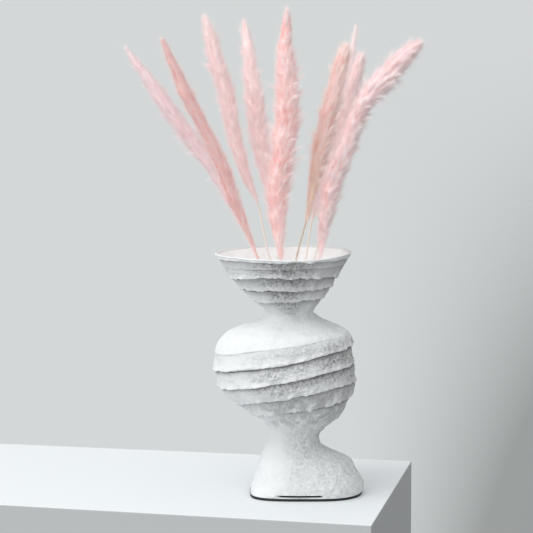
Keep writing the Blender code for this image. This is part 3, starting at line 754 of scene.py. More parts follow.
# Each stalk: its cut foot inside the vase, the neck point, the guide points from the rim to its tip and the
# height at which its plume starts. Its fill is how far the plume spreads to the left and to the right of its
# line, seen from the front, at shares of the way up it. All in millimetres
stalks = {
    "pampas_1": {"foot": (51.7, -16.6, 104.6), "neck": (-9, 9, 226), "from": 320, "dye": "dusty",
                 "guide": [(-45, 24, 298), (-61, 31, 334), (-87, 41, 387), (-124, 52, 442),
                           (-159, 60, 486), (-205, 72, 551)],
                 "fill": [(0, 2.5, 5), (0.1, 6, 9), (0.18, 9, 11), (0.36, 11, 9.5), (0.45, 14.5, 9),
                          (0.54, 16, 9), (0.63, 14, 9), (0.72, 11.5, 10.5), (0.81, 9.5, 8.5),
                          (0.89, 7, 5), (0.95, 5, 2.5), (1, 3, 1)]},
    "pampas_2": {"foot": (35.4, 10.9, 88.2), "neck": (-14.5, -9, 226), "from": 304, "dye": "rose",
                 "guide": [(-42, -20, 302), (-66, -30, 360), (-78, -36, 401), (-101, -45, 454),
                           (-123, -51, 496), (-156, -62, 567)],
                 "fill": [(0, 2, 2), (0.07, 3, 3), (0.19, 5, 7), (0.24, 9, 8), (0.3, 11, 7.5),
                          (0.5, 11, 6.5), (0.63, 11, 5.5), (0.76, 11.5, 7.5), (0.85, 8.5, 6),
                          (0.93, 5, 4), (1, 3.5, 4)]},
    "pampas_3": {"foot": (34.5, -6.4, 85.9), "neck": (-6, 1, 226), "from": 358, "dye": "blush",
                 "guide": [(-27, 5, 299), (-40, 8, 359), (-52, 9, 389), (-64, 11, 435), (-75, 13, 485),
                           (-91, 15, 535), (-106, 18, 592)],
                 "fill": [(0, 1, 1), (0.06, 2.5, 2.5), (0.11, 5, 5), (0.2, 9, 6), (0.35, 12.5, 6.5),
                          (0.49, 14, 9), (0.6, 13, 11), (0.7, 12.5, 12), (0.78, 12, 11),
                          (0.87, 9.5, 11), (0.93, 7, 8), (1, 2.5, 2)]},
    "pampas_4": {"foot": (22.1, -19.6, 12.3), "neck": (-6, 17, 226), "from": 306, "dye": "blush",
                 "guide": [(-15, 29, 296), (-18, 37, 331), (-26, 47, 381), (-35, 57, 431),
                           (-42, 67, 481), (-50, 78, 532), (-58, 88, 584)],
                 "fill": [(0, 2.5, 5), (0.11, 6, 11), (0.26, 9, 12), (0.38, 14, 12), (0.47, 16.5, 12),
                          (0.57, 17, 12), (0.66, 15.5, 11), (0.75, 13.5, 10), (0.84, 10.5, 9),
                          (0.93, 7.5, 7), (1, 3, 3)]},
    "pampas_5": {"foot": (-5.3, 19.8, 12.2), "neck": (-9.5, -14, 226), "from": 291, "dye": "coral",
                 "guide": [(-11, -26, 302), (-12, -30, 325), (-11, -36, 376), (-8, -43, 426),
                           (-4, -51, 489), (-3, -58, 539), (-4, -66, 605)],
                 "fill": [(0, 2.5, 2), (0.04, 4.5, 3.5), (0.13, 12, 7), (0.18, 17, 9), (0.26, 20, 11),
                          (0.33, 20.5, 14.5), (0.43, 20, 16.5), (0.52, 19.5, 18.5), (0.6, 19, 19),
                          (0.66, 19, 18), (0.75, 18.5, 14.5), (0.84, 16, 8), (0.89, 11.5, 6),
                          (0.94, 8, 5), (1, 4, 4)]},
    "pampas_6": {"foot": (-35.6, 3.9, 100.4), "neck": (-7.5, -3.5, 226), "from": 335, "dye": "sand",
                 "guide": [(9, -7, 300), (22, -11, 349), (32, -14, 399), (44, -17, 449),
                           (57, -21, 512), (67, -24, 559)],
                 "fill": [(0, 1, 1.5), (0.08, 2.5, 3.5), (0.15, 5, 5.5), (0.24, 8.5, 8),
                          (0.33, 12.5, 10), (0.5, 15, 10.5), (0.6, 15.5, 10), (0.7, 13.5, 10),
                          (0.8, 12, 10), (0.88, 11.5, 10), (0.94, 9, 9.5), (1, 5.5, 7)]},
    "pampas_7": {"foot": (-13.1, -15.1, 83.2), "neck": (9.5, 14, 226), "from": 335, "dye": "pale",
                 "guide": [(21, 28, 296), (27, 36, 334), (39, 45, 378), (54, 57, 435), (67, 68, 490),
                           (76, 78, 539), (83, 86, 577)],
                 "fill": [(0, 2, 2), (0.1, 5, 6), (0.3, 8, 8), (0.6, 8.5, 8), (0.8, 7, 7),
                          (0.88, 3, 3.5), (0.94, 1.6, 2), (1, 1, 1.2)]},
    "pampas_8": {"foot": (-20.3, -20.9, 94.2), "neck": (13.5, -1, 226), "from": 306, "dye": "blush",
                 "guide": [(32, 10, 298), (40, 14, 333), (51, 18, 376), (61, 22, 419), (70, 26, 464),
                           (80, 31, 508), (89, 34, 545)],
                 "fill": [(0, 2.5, 7), (0.09, 4, 9), (0.18, 9, 10), (0.3, 11, 13.5), (0.42, 11, 10),
                          (0.5, 11, 13), (0.7, 11, 11), (0.85, 11, 9), (0.94, 9.5, 7), (1, 6, 5)]},
    "pampas_9": {"foot": (-15.1, 32.0, 96.9), "neck": (18, -2, 226), "from": 291, "dye": "shell",
                 "guide": [(37, -22, 302), (48, -35, 368), (58, -42, 406), (72, -50, 444),
                           (86, -57, 483), (104, -63, 509), (130, -69, 540), (157, -74, 566)],
                 "fill": [(0, 2, 2), (0.04, 3, 3), (0.13, 7.5, 5.5), (0.18, 12, 8.5), (0.3, 16, 12),
                          (0.37, 17, 13), (0.47, 16.5, 15), (0.56, 15, 12), (0.65, 14.5, 13),
                          (0.7, 15, 15.5), (0.75, 18, 18), (0.8, 16, 19), (0.85, 13.5, 17.5),
                          (0.9, 13, 16.5), (0.95, 11, 13.5), (1, 6.5, 8)]},
}

stemShape = {
    "footRadius": 1.6, "topRadius": 0.45,
    "sides": 3,                  # bevel resolution
    "step": 9.0, "endGap": 6.0,  # between the points of its path, and at least from the last to the tip
    "joints": [92.0, 205.0],     # distances of the grass's joints from the foot
    "jointSwell": 0.35, "jointLength": 3.5,
    "jointPoints": (-1, -0.4, 0, 0.5, 1.4),      # in joint lengths
    "curveSteps": 12,            # from one guide point to the next
    "headingReach": 2.0,         # up and down the line, for its direction
}

plumeShape = {
    "sides": 28, "step": 2.6,     # of the dense middle
    "share": 0.56,                # its half-width, as a share of the plume's
    "foot": 0.06, "tip": 0.04, "roundness": 0.55,   # shares of its length where it closes, and how bluntly
    "coreEnd": 0.98,
    "lump": 0.07, "lumpSize": 9.0, "lumpRing": 6.0, "lumpOctaves": 2,
    "measureSteps": 50, "spreadSteps": 200,
    "leastSpread": 1.0,           # keeps some locks and hairs where the plume is thinnest
    "locks": 460,                 # where hairs draw together into a point that stands out
    "lockTwist": 0.6,             # in radians
    "lockReach": (5.0, 19.0), "lockAhead": 11.0, "aheadWeight": 0.35, "outOfReach": 100.0,
    "drawnAside": 9.0, "drawnAhead": (2.0, 25.0),   # a hair outside these isn't drawn to its lock
    "lockLift": (0.5, 0.9), "lockChance": (-0.5, 1.0),       # in shares of the gap round the core
    "outShare": 0.4, "outLift": (0.2, 0.75), "outPale": 0.24,    # locks that stand out further
    "lockRise": 0.07, "lockLength": 15.0, "lockWidth": 4.0,
    "firstSeed": 100,
    "hairs": 12500, "lastHair": 0.985,
    "pull": (0.4, 1.0), "overshoot": (0.75, 1.3),
    "hairSpread": 0.35,           # of the tips about their lock, in millimetres
    "leastHalf": 2.0,
    "sink": 0.15, "tipLimit": (-6.0, 5.0), "tipLift": (0.35, 1.1), "leastLift": 0.1,
    "hairRadius": 0.20, "hairSizes": (0.7, 1.2), "hairFlatness": 0.5,
    "frontLean": np.array([-0.35, -0.25, 0.5]),   # hairs' broad fronts turn outwards, and a little this way
    "strays": 6400, "strayPlaces": (0.02, 0.985),
    "strayLength": (7.0, 19.0), "strayShortest": 0.5, "strayLean": (14.0, 50.0), "strayRadius": 0.10,
    # how far out on the map the core, the hairs and the strays lie, and how much locks and lumps differ there
    "hairMap": "OFBake", "coreDepth": 0.14, "hairDepth": 0.36, "hairDepthChance": 0.22, "strayDepth": 0.8,
    "alongChance": 0.03, "paleChance": 0.16, "lumpChance": 0.3,
    "hairOnMap": (0.0015, 0.24),  # one hair's width and length there
    "mapAlong": (0.02, 0.9), "mapOut": (0.01, 0.98), "alongMost": 1.05,
}

# Each dye's colours: deep in the plume, at its edge, at the tips of its hairs, and of the redder clumps near
# its middle with how strong those are. A low colour takes over from the deep one in the plume's lower part.
# The stem has a colour of its own. The slot is the record's, for both pieces
dyes = {
    "dusty": {"deep": (0.93, 0.70, 0.715), "edge": (0.95, 0.845, 0.85), "tip": (0.96, 0.90, 0.905),
              "clump": (0.89, 0.59, 0.61), "clumps": 0.7, "low": (0.96, 0.74, 0.74),
              "stem": (0.93, 0.72, 0.70), "slot": "dusty_plume"},
    "rose": {"deep": (0.97, 0.62, 0.58), "edge": (0.98, 0.80, 0.78), "tip": (1.0, 0.91, 0.90),
             "clump": (0.90, 0.45, 0.42), "clumps": 0.75, "low": (0.95, 0.62, 0.59),
             "stem": (0.90, 0.58, 0.54), "slot": "rose_plume"},
    "blush": {"deep": (1.0, 0.83, 0.82), "edge": (1.0, 0.88, 0.87), "tip": (1.0, 0.94, 0.94),
              "clump": (1.0, 0.74, 0.72), "clumps": 0.5, "low": (1.0, 0.83, 0.815),
              "stem": (0.90, 0.80, 0.72), "slot": "blush_plume"},
    "shell": {"deep": (1.0, 0.77, 0.76), "edge": (0.98, 0.87, 0.87), "tip": (0.98, 0.955, 0.955),
              "clump": (0.99, 0.66, 0.64), "clumps": 0.7, "low": (1.0, 0.74, 0.71),
              "stem": (0.96, 0.78, 0.75), "slot": "blush_plume"},
    "coral": {"deep": (1.0, 0.70, 0.67), "edge": (1.0, 0.88, 0.87), "tip": (1.0, 0.95, 0.945),
              "clump": (0.99, 0.48, 0.43), "clumps": 0.8, "low": (1.0, 0.745, 0.72),
              "stem": (0.95, 0.66, 0.61), "slot": "coral_plume"},
    "sand": {"deep": (1.0, 0.74, 0.67), "edge": (1.0, 0.89, 0.86), "tip": (1.0, 0.93, 0.915),
             "clump": (1.0, 0.57, 0.46), "clumps": 0.7, "low": (1.0, 0.92, 0.56),
             "stem": (0.74, 0.62, 0.50), "slot": "sand_plume"},
    "pale": {"deep": (1.0, 0.84, 0.82), "edge": (1.0, 0.90, 0.89), "tip": (1.0, 0.95, 0.95),
             "clump": (0.99, 0.74, 0.72), "clumps": 0.4, "low": (1.0, 0.82, 0.79),
             "stem": (0.93, 0.86, 0.77), "slot": "blush_plume"},
}


class Route:
    # a stalk's middle line in millimetres, read by distance from its foot
    def __init__(self, stalk):
        foot, neck = np.array(stalk["foot"], float), np.array(stalk["neck"], float)
        points = [foot, (foot + neck) / 2, neck, *(np.array(p, float) for p in stalk["guide"])]
        padded = [2 * points[0] - points[1], *points, 2 * points[-1] - points[-2]]
        made = []
        for before, start, end, after in zip(padded, padded[1:], padded[2:], padded[3:]):
            for t in np.arange(stemShape["curveSteps"]) / stemShape["curveSteps"]:
                made.append(start + ((end - before) * t + (2 * before - 5 * start + 4 * end - after) * t**2
                                     + (3 * start - before - 3 * end + after) * t**3) / 2)
        self.points = np.array(made + [points[-1]])
        steps = np.linalg.norm(np.diff(self.points, axis=0), axis=1)
        self.distances = np.concatenate([[0], np.cumsum(steps)])
        self.length = self.distances[-1]

    def at(self, distances):
        beyond = np.maximum(np.asarray(distances, float) - self.length, 0.0)[..., None]
        end = unit(self.points[-1] - self.points[-3])
        places = [np.interp(distances, self.distances, self.points[:, k]) for k in range(3)]
        return np.stack(places, -1) + beyond * end

    def heading(self, distances):
        reach = stemShape["headingReach"]
        return unit(self.at(np.asarray(distances) + reach) - self.at(np.asarray(distances) - reach))

    def distanceAtHeight(self, height):
        return self.distances[self.points[:, 2] <= height].max()


def unit(vectors):
    return vectors / np.maximum(np.linalg.norm(vectors, axis=-1, keepdims=True), tiny)


def sideAxes(headings):
    first = unit(np.cross(headings, depthAxis))
    return first, unit(np.cross(headings, first))


def fillAt(stalk, share):
    # the plume's half-width and how far its middle lies to the left of the stalk's line
    rows = np.array(stalk["fill"], float)
    left, right = np.interp(share, rows[:, 0], rows[:, 1]), np.interp(share, rows[:, 0], rows[:, 2])
    return (left + right) / 2, (left - right) / 2


def stalkStem(name, route, finish):
    shape = stemShape
    distances = np.arange(0, route.length - shape["endGap"], shape["step"])
    for joint in shape["joints"]:
        distances = np.concatenate([distances, joint + np.array(shape["jointPoints"]) * shape["jointLength"]])
    distances = np.sort(distances)
    curve = bpy.data.curves.new(name, "CURVE")
    curve.dimensions = "3D"
    curve.bevel_depth = mm
    curve.bevel_resolution = shape["sides"]
    curve.use_fill_caps = True
    line = curve.splines.new("POLY")
    line.points.add(len(distances) - 1)
    radii = shape["footRadius"] + (shape["topRadius"] - shape["footRadius"]) * distances / route.length
    for joint in shape["joints"]:
        radii = radii + shape["jointSwell"] * bell(distances - joint, shape["jointLength"])
    for point, place, radius in zip(line.points, route.at(distances) * mm, radii):
        point.co = (*place, 1.0)
        point.radius = radius
    stem = bpy.data.objects.new(name, curve)
    bpy.context.scene.collection.objects.link(stem)
    pick(stem)
    bpy.ops.object.convert(target="MESH")
    stem = bpy.context.active_object
    stem.data.shade_smooth()
    dress(stem, finish)
    return stem


def hairPattern():
    # one hair as modelled: a slender cone with a broad flat front towards +Y, from z = 0 to its tip at 1
    letGo()
    bpy.ops.mesh.primitive_cone_add(vertices=3, radius1=1.0, radius2=0.0, depth=1.0, end_fill_type="NGON",
                                    location=(0, 0, 0.5), rotation=(0, 0, math.pi))
    cone = christen("hair_pattern")
    cone.data.transform(cone.matrix_world)
    points = pointsOf(cone) * np.array([1.0, plumeShape["hairFlatness"], 1.0])
    faces = np.array([list(p.vertices) for p in cone.data.polygons])
    bpy.data.objects.remove(cone)
    return points, faces


def comb(starts, ends, outward, radii, pattern):
    # copies the hair to every start, reaching to its end
    points, faces = pattern
    share = points[:, 2][None, :, None]
    line = (1 - share) * starts[:, None] + share * ends[:, None]
    along = unit(ends - starts)
    aside = unit(np.cross(outward + plumeShape["frontLean"], along))
    front = np.cross(along, aside)
    across = points[None, :, 0, None] * aside[:, None] + points[None, :, 1, None] * front[:, None]
    places = line + across * radii[:, None, None]
    allFaces = faces[None] + len(points) * np.arange(len(starts))[:, None, None]
    return places.reshape(-1, 3), allFaces.reshape(-1, 3)


def turned(headings, turns):
    # directions square to the headings, at those turns round them from the left
    left, away = sideAxes(headings)
    return np.cos(turns)[:, None] * left + np.sin(turns)[:, None] * away


class Fluff:
    # one plume's locks, the dense middle that its hairs lie on, and the hairs, all from one seed
    def __init__(self, stalk, route, seed):
        shape = plumeShape
        self.stalk, self.route = stalk, route
        self.draw = np.random.RandomState(seed)
        self.start = route.distanceAtHeight(stalk["from"])
        self.length = route.length - self.start
        self.fullest = max(fillAt(stalk, np.linspace(0, 1, shape["measureSteps"]))[0])

        # the points of the locks, spread over the plume
        count = shape["locks"]
        self.steps = np.linspace(0, self.length, shape["spreadSteps"])
        spread = np.cumsum(self.halfWidth(self.steps) + shape["leastSpread"])
        self.spread = (spread - spread[0]) / (spread[-1] - spread[0])
        evenly = (np.arange(count) + self.draw.uniform(0, 1, count)) / count
        self.lockAt = np.sort(np.interp(evenly, self.spread, self.steps))
        twist = self.draw.uniform(-shape["lockTwist"], shape["lockTwist"], count)
        self.lockTurn = np.arange(count) * goldenAngle + twist
        self.lockHalf = self.halfWidth(self.lockAt)
        self.shapeMiddle(seed)

    def halfWidth(self, along):
        return fillAt(self.stalk, along / self.length)[0]

    def shapeMiddle(self, seed):
        # the dense middle, which rises to a flame under each lock
        shape, sides = plumeShape, plumeShape["sides"]
        self.rings = int(self.length / shape["step"]) + 1
        along = np.repeat(np.linspace(0, self.length, self.rings), sides)
        turn = np.tile(np.arange(sides) * 2 * math.pi / sides, self.rings)
        relief = np.zeros(len(along))
        for at, lockTurn, half in zip(self.lockAt, self.lockTurn, self.lockHalf):
            up = 1 - (at - along) / shape["lockLength"]
            aside = wrapped(turn - lockTurn) * half
            rising = np.where((up > 0) & (up < 1), up, 0.0)
            flame = np.clip(1 - (aside / shape["lockWidth"]) ** 2, 0, 1) * rising
            relief = np.maximum(relief, flame * shape["lockRise"] * half)
        around = np.stack([along, shape["lumpRing"] * np.cos(turn), shape["lumpRing"] * np.sin(turn)], -1)
        lumps = cloud(around, {"size": shape["lumpSize"], "seed": seed, "octaves": shape["lumpOctaves"]})
        self.relief = (relief + lumps * shape["lump"] * self.fullest).reshape(self.rings, sides)

        self.corePoints = self.surface(np.minimum(along, self.length * shape["coreEnd"]), turn, 0.0)[0]
        corner = np.arange(self.rings - 1)[:, None] * sides + np.arange(sides)
        after = np.arange(self.rings - 1)[:, None] * sides + (np.arange(sides) + 1) % sides
        self.coreFaces = np.concatenate([np.stack([corner, after, corner + sides], -1).reshape(-1, 3),
                                         np.stack([after, after + sides, corner + sides], -1).reshape(-1, 3)])
        self.coreUp = along / self.length + shape["lumpChance"] * shape["alongChance"] * lumps

    def surface(self, along, turn, lift, closes=True):
        # places that far above the dense middle, which closes at both ends, and the ways outwards there
        shape, sides = plumeShape, plumeShape["sides"]
        share = np.clip(along / self.length, 0.0, 1.0)
        half, middle = fillAt(self.stalk, share)
        heading = self.route.heading(self.start + along)
        row = np.clip(np.rint(along / self.length * (self.rings - 1)).astype(int), 0, self.rings - 1)
        column = np.rint(turn / (2 * math.pi) * sides).astype(int) % sides
        closing = np.minimum(share / shape["foot"], np.maximum(shape["coreEnd"] - share, 0.0) / shape["tip"])
        closing = np.minimum(1.0, closing) ** shape["roundness"] if closes else 1.0
        out = closing * (shape["share"] * half + self.relief[row, column]) + lift
        outward = turned(heading, turn)
        line = self.route.at(self.start + along) + middle[:, None] * sideAxes(heading)[0]
        return line + out[:, None] * outward, outward

    def lyingHairs(self):
        # hairs that lie on the middle, each drawn to the nearest lock ahead
        shape, draw, count = plumeShape, self.draw, plumeShape["hairs"]
        locks, one = shape["locks"], np.arange(count)
        hairAt = np.interp(draw.uniform(0, 1, count), self.spread, self.steps) * shape["lastHair"]
        hairTurn = draw.uniform(0, 2 * math.pi, count)
        half = self.halfWidth(hairAt)
        ahead = self.lockAt[None] - hairAt[:, None]
        aside = wrapped(self.lockTurn[None] - hairTurn[:, None])
        cost = np.abs(aside) * half[:, None] + shape["aheadWeight"] * np.abs(ahead - shape["lockAhead"])
        inReach = (ahead > shape["lockReach"][0]) & (ahead < shape["lockReach"][1])
        owner = np.argmin(np.where(inReach, cost, cost + shape["outOfReach"]), axis=1)
        ahead, aside = ahead[one, owner], aside[one, owner]
        drawn = (ahead > shape["drawnAhead"][0]) & (ahead < shape["drawnAhead"][1])
        drawn = drawn & (np.abs(aside) * half < shape["drawnAside"])

        pull = np.where(drawn, draw.uniform(*shape["pull"], count), 0.0)
        goal = np.where(drawn, ahead, shape["lockAhead"]) * draw.uniform(*shape["overshoot"], count)
        tipAt = np.minimum(hairAt + goal, self.length + draw.uniform(*shape["tipLimit"], count))
        tipTurn = hairTurn + pull * np.where(drawn, aside, 0.0)
        tipTurn = tipTurn + draw.normal(0, shape["hairSpread"], count) / np.maximum(half, shape["leastHalf"])
        gap = (1 - shape["share"]) * self.halfWidth(tipAt)
        base, more = shape["lockLift"]
        lockLift = base + more * draw.uniform(*shape["lockChance"], locks)[owner]
        standing = draw.uniform(0, 1, locks) < shape["outShare"]
        further = np.where(standing, draw.uniform(*shape["outLift"], locks) * self.lockHalf, 0.0)[owner]
        lift = (gap * lockLift + further) * draw.uniform(*shape["tipLift"], count)
        at, outward = self.surface(hairAt, hairTurn, -shape["sink"])
        tips = self.surface(tipAt, tipTurn, np.maximum(lift, shape["leastLift"]), closes=False)[0]

        depth = shape["hairDepth"] + shape["hairDepthChance"] * draw.uniform(0, 1, count)
        depth = depth + draw.uniform(-1, 1, locks)[owner] * shape["paleChance"]
        depth = depth + shape["outPale"] * standing[owner]
        chance = draw.uniform(-1, 1, locks)[owner] * shape["alongChance"]
        radii = shape["hairRadius"] * draw.uniform(*shape["hairSizes"], count)
        return at, tips, outward, radii, hairAt / self.length + chance, depth

    def strayHairs(self):
        # thin loose hairs all over, for the haze at the plume's edge
        shape, draw, count = plumeShape, self.draw, plumeShape["strays"]
        along = self.length * draw.uniform(*shape["strayPlaces"], count)
        turn = draw.uniform(0, 2 * math.pi, count)
        heading = self.route.heading(self.start + along)
        lean = np.radians(draw.uniform(*shape["strayLean"], count))
        at, outward = self.surface(along, turn, -shape["sink"])
        shortest = shape["strayShortest"]
        fullness = shortest + (1 - shortest) * self.halfWidth(along) / self.fullest
        reach = draw.uniform(*shape["strayLength"], count) * fullness
        tips = at + reach[:, None] * (heading * np.cos(lean)[:, None] + outward * np.sin(lean)[:, None])
        radii, depth = np.full(count, shape["strayRadius"]), np.full(count, shape["strayDepth"])
        return at, tips, outward, radii, along / self.length, depth


def plume(name, fluff, pattern, finish):
    # one mesh of them all. Its map runs up the plume in u, and from its middle to its hairs' tips in v
    shape, (hairPoints, _) = plumeShape, pattern
    hairWide, hairLong = shape["hairOnMap"]
    points, faces, offset = [fluff.corePoints], [fluff.coreFaces], len(fluff.corePoints)
    ups, depths = [fluff.coreUp], [np.full(len(fluff.corePoints), shape["coreDepth"])]
    for starts, ends, outward, radii, up, depth in (fluff.lyingHairs(), fluff.strayHairs()):
        places, triangles = comb(starts, ends, outward, radii, pattern)
        points.append(places)
        faces.append(triangles + offset)
        offset += len(places)
        ups.append(np.repeat(up, len(hairPoints)) + hairWide * np.tile(hairPoints[:, 0], len(starts)))
        depths.append(np.repeat(depth, len(hairPoints)) + hairLong * np.tile(hairPoints[:, 2], len(starts)))
    points, faces = np.concatenate(points), np.concatenate(faces)
    mesh = bpy.data.meshes.new(name)
    mesh.from_pydata((points * mm).tolist(), [], faces.tolist())
    made = bpy.data.objects.new(name, mesh)
    bpy.context.scene.collection.objects.link(made)
    layer = mesh.uv_layers.new(name=shape["hairMap"])
    corner = faces.ravel()
    u = shape["mapAlong"][0] + shape["mapAlong"][1] * np.clip(np.concatenate(ups), 0, shape["alongMost"])
    v = shape["mapOut"][0] + shape["mapOut"][1] * np.clip(np.concatenate(depths), 0, 1)
    layer.data.foreach_set("uv", np.stack([u[corner], v[corner]], -1).astype(np.float32).ravel())
    mesh.polygons.foreach_set("use_smooth", np.arange(len(faces)) < len(fluff.coreFaces))
    dress(made, finish)
    return made


plumeLook = {
    "specular": 0.2,
    "acrossShare": 0.05,         # streaks run up the plume
    "clumps": (22.0, 2.0, 0.6), "strands": (300.0, 1.0, 0.5),      # scale, detail and roughness of each grain
    # where each mask starts and how steeply it rises
    "lowMask": (0.46, 5.0), "clumpMask": (0.48, 6.0), "tipMask": (0.55, 2.2),
    "edgeStrength": 1.5, "clumpFade": 0.9, "strandBase": 0.35, "strandMore": 0.9,
    "roughness": 0.62, "roughnessStrands": 0.2,
}

stemLook = {
    "stretch": (1.0, 1.0, 0.05),
    "streaks": (2600.0, 3.0, 0.6), "patches": (45.0, 2.0),
    "streakMask": (0.42, 2.6), "streakStrength": 0.55, "darker": 0.72,
    "patchMask": (0.5, 3.0), "patchStrength": 0.4, "patch": (0.80, 0.62, 0.44),
    "roughness": 0.48, "roughnessStreaks": 0.3,
    "bumpHeight": 0.08, "bumpStrength": 0.7,
}


def plumeFinish(name, dye):
    look = plumeLook
    made = Finish(name, Metallic=0.0)
    made.set("Specular IOR Level", look["specular"])
    place = made.node("UVMap", {"uv_map": plumeShape["hairMap"]}, result="UV")
    up = made.node("SeparateXYZ", {}, {"Vector": place}, result="X")
    out = Link(made, up.socket.node.outputs["Y"])
    column = made.node("CombineXYZ", {}, {"X": up, "Y": out * look["acrossShare"]})
    clumps, strands = made.grain(column, *look["clumps"]), made.grain(column, *look["strands"])
    deep = made.mix(up.below(*look["lowMask"]), dye["deep"], dye["low"])
    colour = made.mix((out * look["edgeStrength"]).clipped(), deep, dye["edge"])
    near = clumps.above(*look["clumpMask"]) * dye["clumps"] * (1.0 - look["clumpFade"] * out).clipped()
    colour = made.mix(near, colour, dye["clump"])
    tips = out.above(*look["tipMask"]) * (look["strandBase"] + look["strandMore"] * strands).clipped()
    made.set("Base Color", made.mix(tips, colour, dye["tip"]))
    made.set("Roughness", look["roughness"] + look["roughnessStrands"] * strands)
    return made.material


def stemFinish(name, colour):
    look = stemLook
    made = Finish(name, Metallic=0.0)
    place = made.objectPlace()
    stretched = made.node("Mapping", {}, {"Vector": place, "Scale": look["stretch"]}, result="Vector")
    streaks, patches = made.grain(stretched, *look["streaks"]), made.grain(place, *look["patches"])
    darker = tuple(c * look["darker"] for c in colour)
    shade = made.mix(streaks.above(*look["streakMask"]) * look["streakStrength"], colour, darker)
    shade = made.mix(patches.above(*look["patchMask"]) * look["patchStrength"], shade, look["patch"])
    made.set("Base Color", shade)
    made.set("Roughness", look["roughness"] + look["roughnessStreaks"] * streaks)
    made.set("Normal", made.bumped(streaks * look["bumpHeight"], look["bumpStrength"]))
    return made.material


# building the object

vase = vaseWall(plasterFinish())
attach(vase, "root")
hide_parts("vase")
pad = footPad(rubberFinish())
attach(pad, "root")
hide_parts("foot_pad")
print("vase and pad done")

finishes = {dye: (stemFinish(dye + "_stem", colours["stem"]), plumeFinish(dye + "_plume", colours))
            for dye, colours in dyes.items()}
hair = hairPattern()
for seed, (name, stalk) in enumerate(stalks.items(), start=plumeShape["firstSeed"]):
    route = Route(stalk)
    stemDye, plumeDye = finishes[stalk["dye"]]
    stem = stalkStem(name + "_stem", route, stemDye)
    fluff = plume(name + "_plume", Fluff(stalk, route, seed), hair, plumeDye)
    for piece in (stem, fluff):
        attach(piece, "root")
    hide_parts(name)
    print(name, "done:", len(fluff.data.polygons), "triangles of hair")


# the set

studio = {
    "tableCorners": {"leftFront": (-0.93, 0.080), "rightFront": (0.0943, -0.2044),
                     "rightBack": (0.1615, 0.211), "leftBack": (-0.93, 0.468)},
    "tableDepth": 0.75, "tableEdge": 0.0012, "tableEdgeSegments": 2,
    "board": (0.75, 0.77, 0.785), "boardRoughness": 0.55,
    # the board's sides are a darker copy of its top: painted shade
    "sidesPaintedShade": (0.47, 0.485, 0.49), "boardSidesRoughness": 0.6,
    "wallDistance": 7.0, "wallSize": 14.0, "wallRoughness": 0.9,
    "wallLit": (0.81, 0.835, 0.83), "wallDim": (0.40, 0.415, 0.41),
    # where the light on the wall starts to fall off, to the right of x and below z, and how
    "dimRightOf": 0.25, "dimBelow": 0.3, "dimDepth": 2.0, "dimPower": 1.5, "dimStrength": 1.1,
    "cameraPlace": (-0.02925, -3.637, 0.7132),
    "cameraPitch": 6.752,
    "focalPixels": 2969, "photoWidth": 533, "sensor": 36.0, "clipEnd": 50.0,
    "bounces": 10,                # light goes deep into the pale fluff
    "world": (0.985, 0.995, 1.0),
    "worldMiddle": 0.62, "worldLean": 0.57,      # its strength sideways, and how much more from the light
    "towardsLight": (-0.46, -0.43, 0.776),
    "keyPlace": (-1.4, -1.3, 2.7), "keyAim": (0.0, 0.0, 0.2), "keySize": 2.4, "keyPower": 46.0,
    "keyColour": (0.94, 0.98, 1.0),
}


def table(finish, shadedSideFinish):
    letGo()
    bpy.ops.mesh.primitive_plane_add(size=1.0)
    top = christen("table_floor")
    for vertex in top.data.vertices:
        side = "left" if vertex.co.x < 0 else "right"
        end = "Front" if vertex.co.y < 0 else "Back"
        vertex.co = (*studio["tableCorners"][side + end], 0.0)
    bpy.ops.object.mode_set(mode="EDIT")
    bpy.ops.mesh.select_all(action="SELECT")
    bpy.ops.mesh.extrude_region_move(TRANSFORM_OT_translate={"value": (0, 0, -studio["tableDepth"])})
    bpy.ops.mesh.select_all(action="SELECT")
    bpy.ops.mesh.normals_make_consistent(inside=False)
    bpy.ops.object.mode_set(mode="OBJECT")
    edge = top.modifiers.new("edge", "BEVEL")
    edge.width = studio["tableEdge"]
    edge.segments = studio["tableEdgeSegments"]
    pick(top)
    bpy.ops.object.modifier_apply(modifier="edge")
    dress(top, finish)
    top.data.materials.append(shadedSideFinish)
    # faces that don't face up get the darker finish, as painted shade
    for polygon in top.data.polygons:
        facesUp = polygon.normal.z > 0.5
        polygon.material_index = 0 if facesUp else 1
    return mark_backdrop(top)


def paintedWall(finish):
    letGo()
    bpy.ops.mesh.primitive_plane_add(size=studio["wallSize"], location=(0, studio["wallDistance"], 0),
                                     rotation=(math.pi / 2, 0, 0))
    wall = christen("backdrop")
    bpy.ops.object.transform_apply(location=True, rotation=True, scale=True)
    dress(wall, finish)
    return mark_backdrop(wall)


def wallFinish():
    # the light on the wall falls off to the right and downwards
    made = Finish("wall_paint", Metallic=0.0, Roughness=studio["wallRoughness"])
    across = made.node("SeparateXYZ", {}, {"Vector": made.objectPlace()}, result="X")
    height = Link(made, across.socket.node.outputs["Z"])
    right, low = across - studio["dimRightOf"], studio["dimBelow"] - height
    falling = (right.clipped() * low.clipped(0.0, studio["dimDepth"])) ** studio["dimPower"]
    dim = (falling * studio["dimStrength"]).clipped()
    made.set("Base Color", made.mix(dim, studio["wallLit"], studio["wallDim"]))
    return made.material


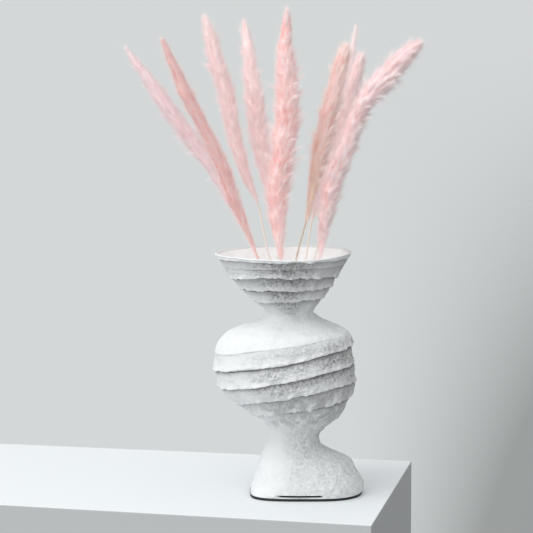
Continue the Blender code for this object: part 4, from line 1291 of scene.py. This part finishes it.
def plainFinish(name, colour, roughness):
    made = Finish(name, Metallic=0.0, Roughness=roughness)
    made.set("Base Color", colour)
    return made.material


table(plainFinish("white_board", studio["board"], studio["boardRoughness"]),
      plainFinish("sides_painted_shade", studio["sidesPaintedShade"], studio["boardSidesRoughness"]))
paintedWall(wallFinish())

lamp = bpy.data.lights.new("key", "AREA")
lamp.shape = "DISK"
lamp.size = studio["keySize"]
lamp.energy = studio["keyPower"]
lamp.color = studio["keyColour"]
lampObject = bpy.data.objects.new("key", lamp)
bpy.context.scene.collection.objects.link(lampObject)
lampObject.location = studio["keyPlace"]
aim = Vector(studio["keyAim"]) - Vector(studio["keyPlace"])
lampObject.rotation_euler = aim.to_track_quat("-Z", "Y").to_euler()

world = bpy.data.worlds.new("studio")
bpy.context.scene.world = world
world.use_nodes = True
worldTree = world.node_tree
background = worldTree.nodes["Background"]
background.inputs["Color"].default_value = (*studio["world"], 1.0)
direction = worldTree.nodes.new("ShaderNodeTexCoord")
facing = worldTree.nodes.new("ShaderNodeVectorMath")
facing.operation = "DOT_PRODUCT"
facing.inputs[1].default_value = studio["towardsLight"]
worldTree.links.new(direction.outputs["Generated"], facing.inputs[0])
leaning = worldTree.nodes.new("ShaderNodeMath")
leaning.operation = "MULTIPLY_ADD"
leaning.inputs[1].default_value = studio["worldLean"]
leaning.inputs[2].default_value = studio["worldMiddle"]
worldTree.links.new(facing.outputs["Value"], leaning.inputs[0])
worldTree.links.new(leaning.outputs["Value"], background.inputs["Strength"])

camera = bpy.data.cameras.new("camera")
camera.sensor_width = studio["sensor"]
camera.lens = studio["focalPixels"] / studio["photoWidth"] * studio["sensor"]
camera.clip_end = studio["clipEnd"]
cameraObject = bpy.data.objects.new("camera", camera)
bpy.context.scene.collection.objects.link(cameraObject)
cameraObject.location = studio["cameraPlace"]
cameraObject.rotation_euler = (math.radians(90 - studio["cameraPitch"]), 0, 0)
bpy.context.scene.camera = cameraObject
bpy.context.scene.view_settings.view_transform = "Standard"
bpy.context.scene.cycles.diffuse_bounces = studio["bounces"]
print("studio set")
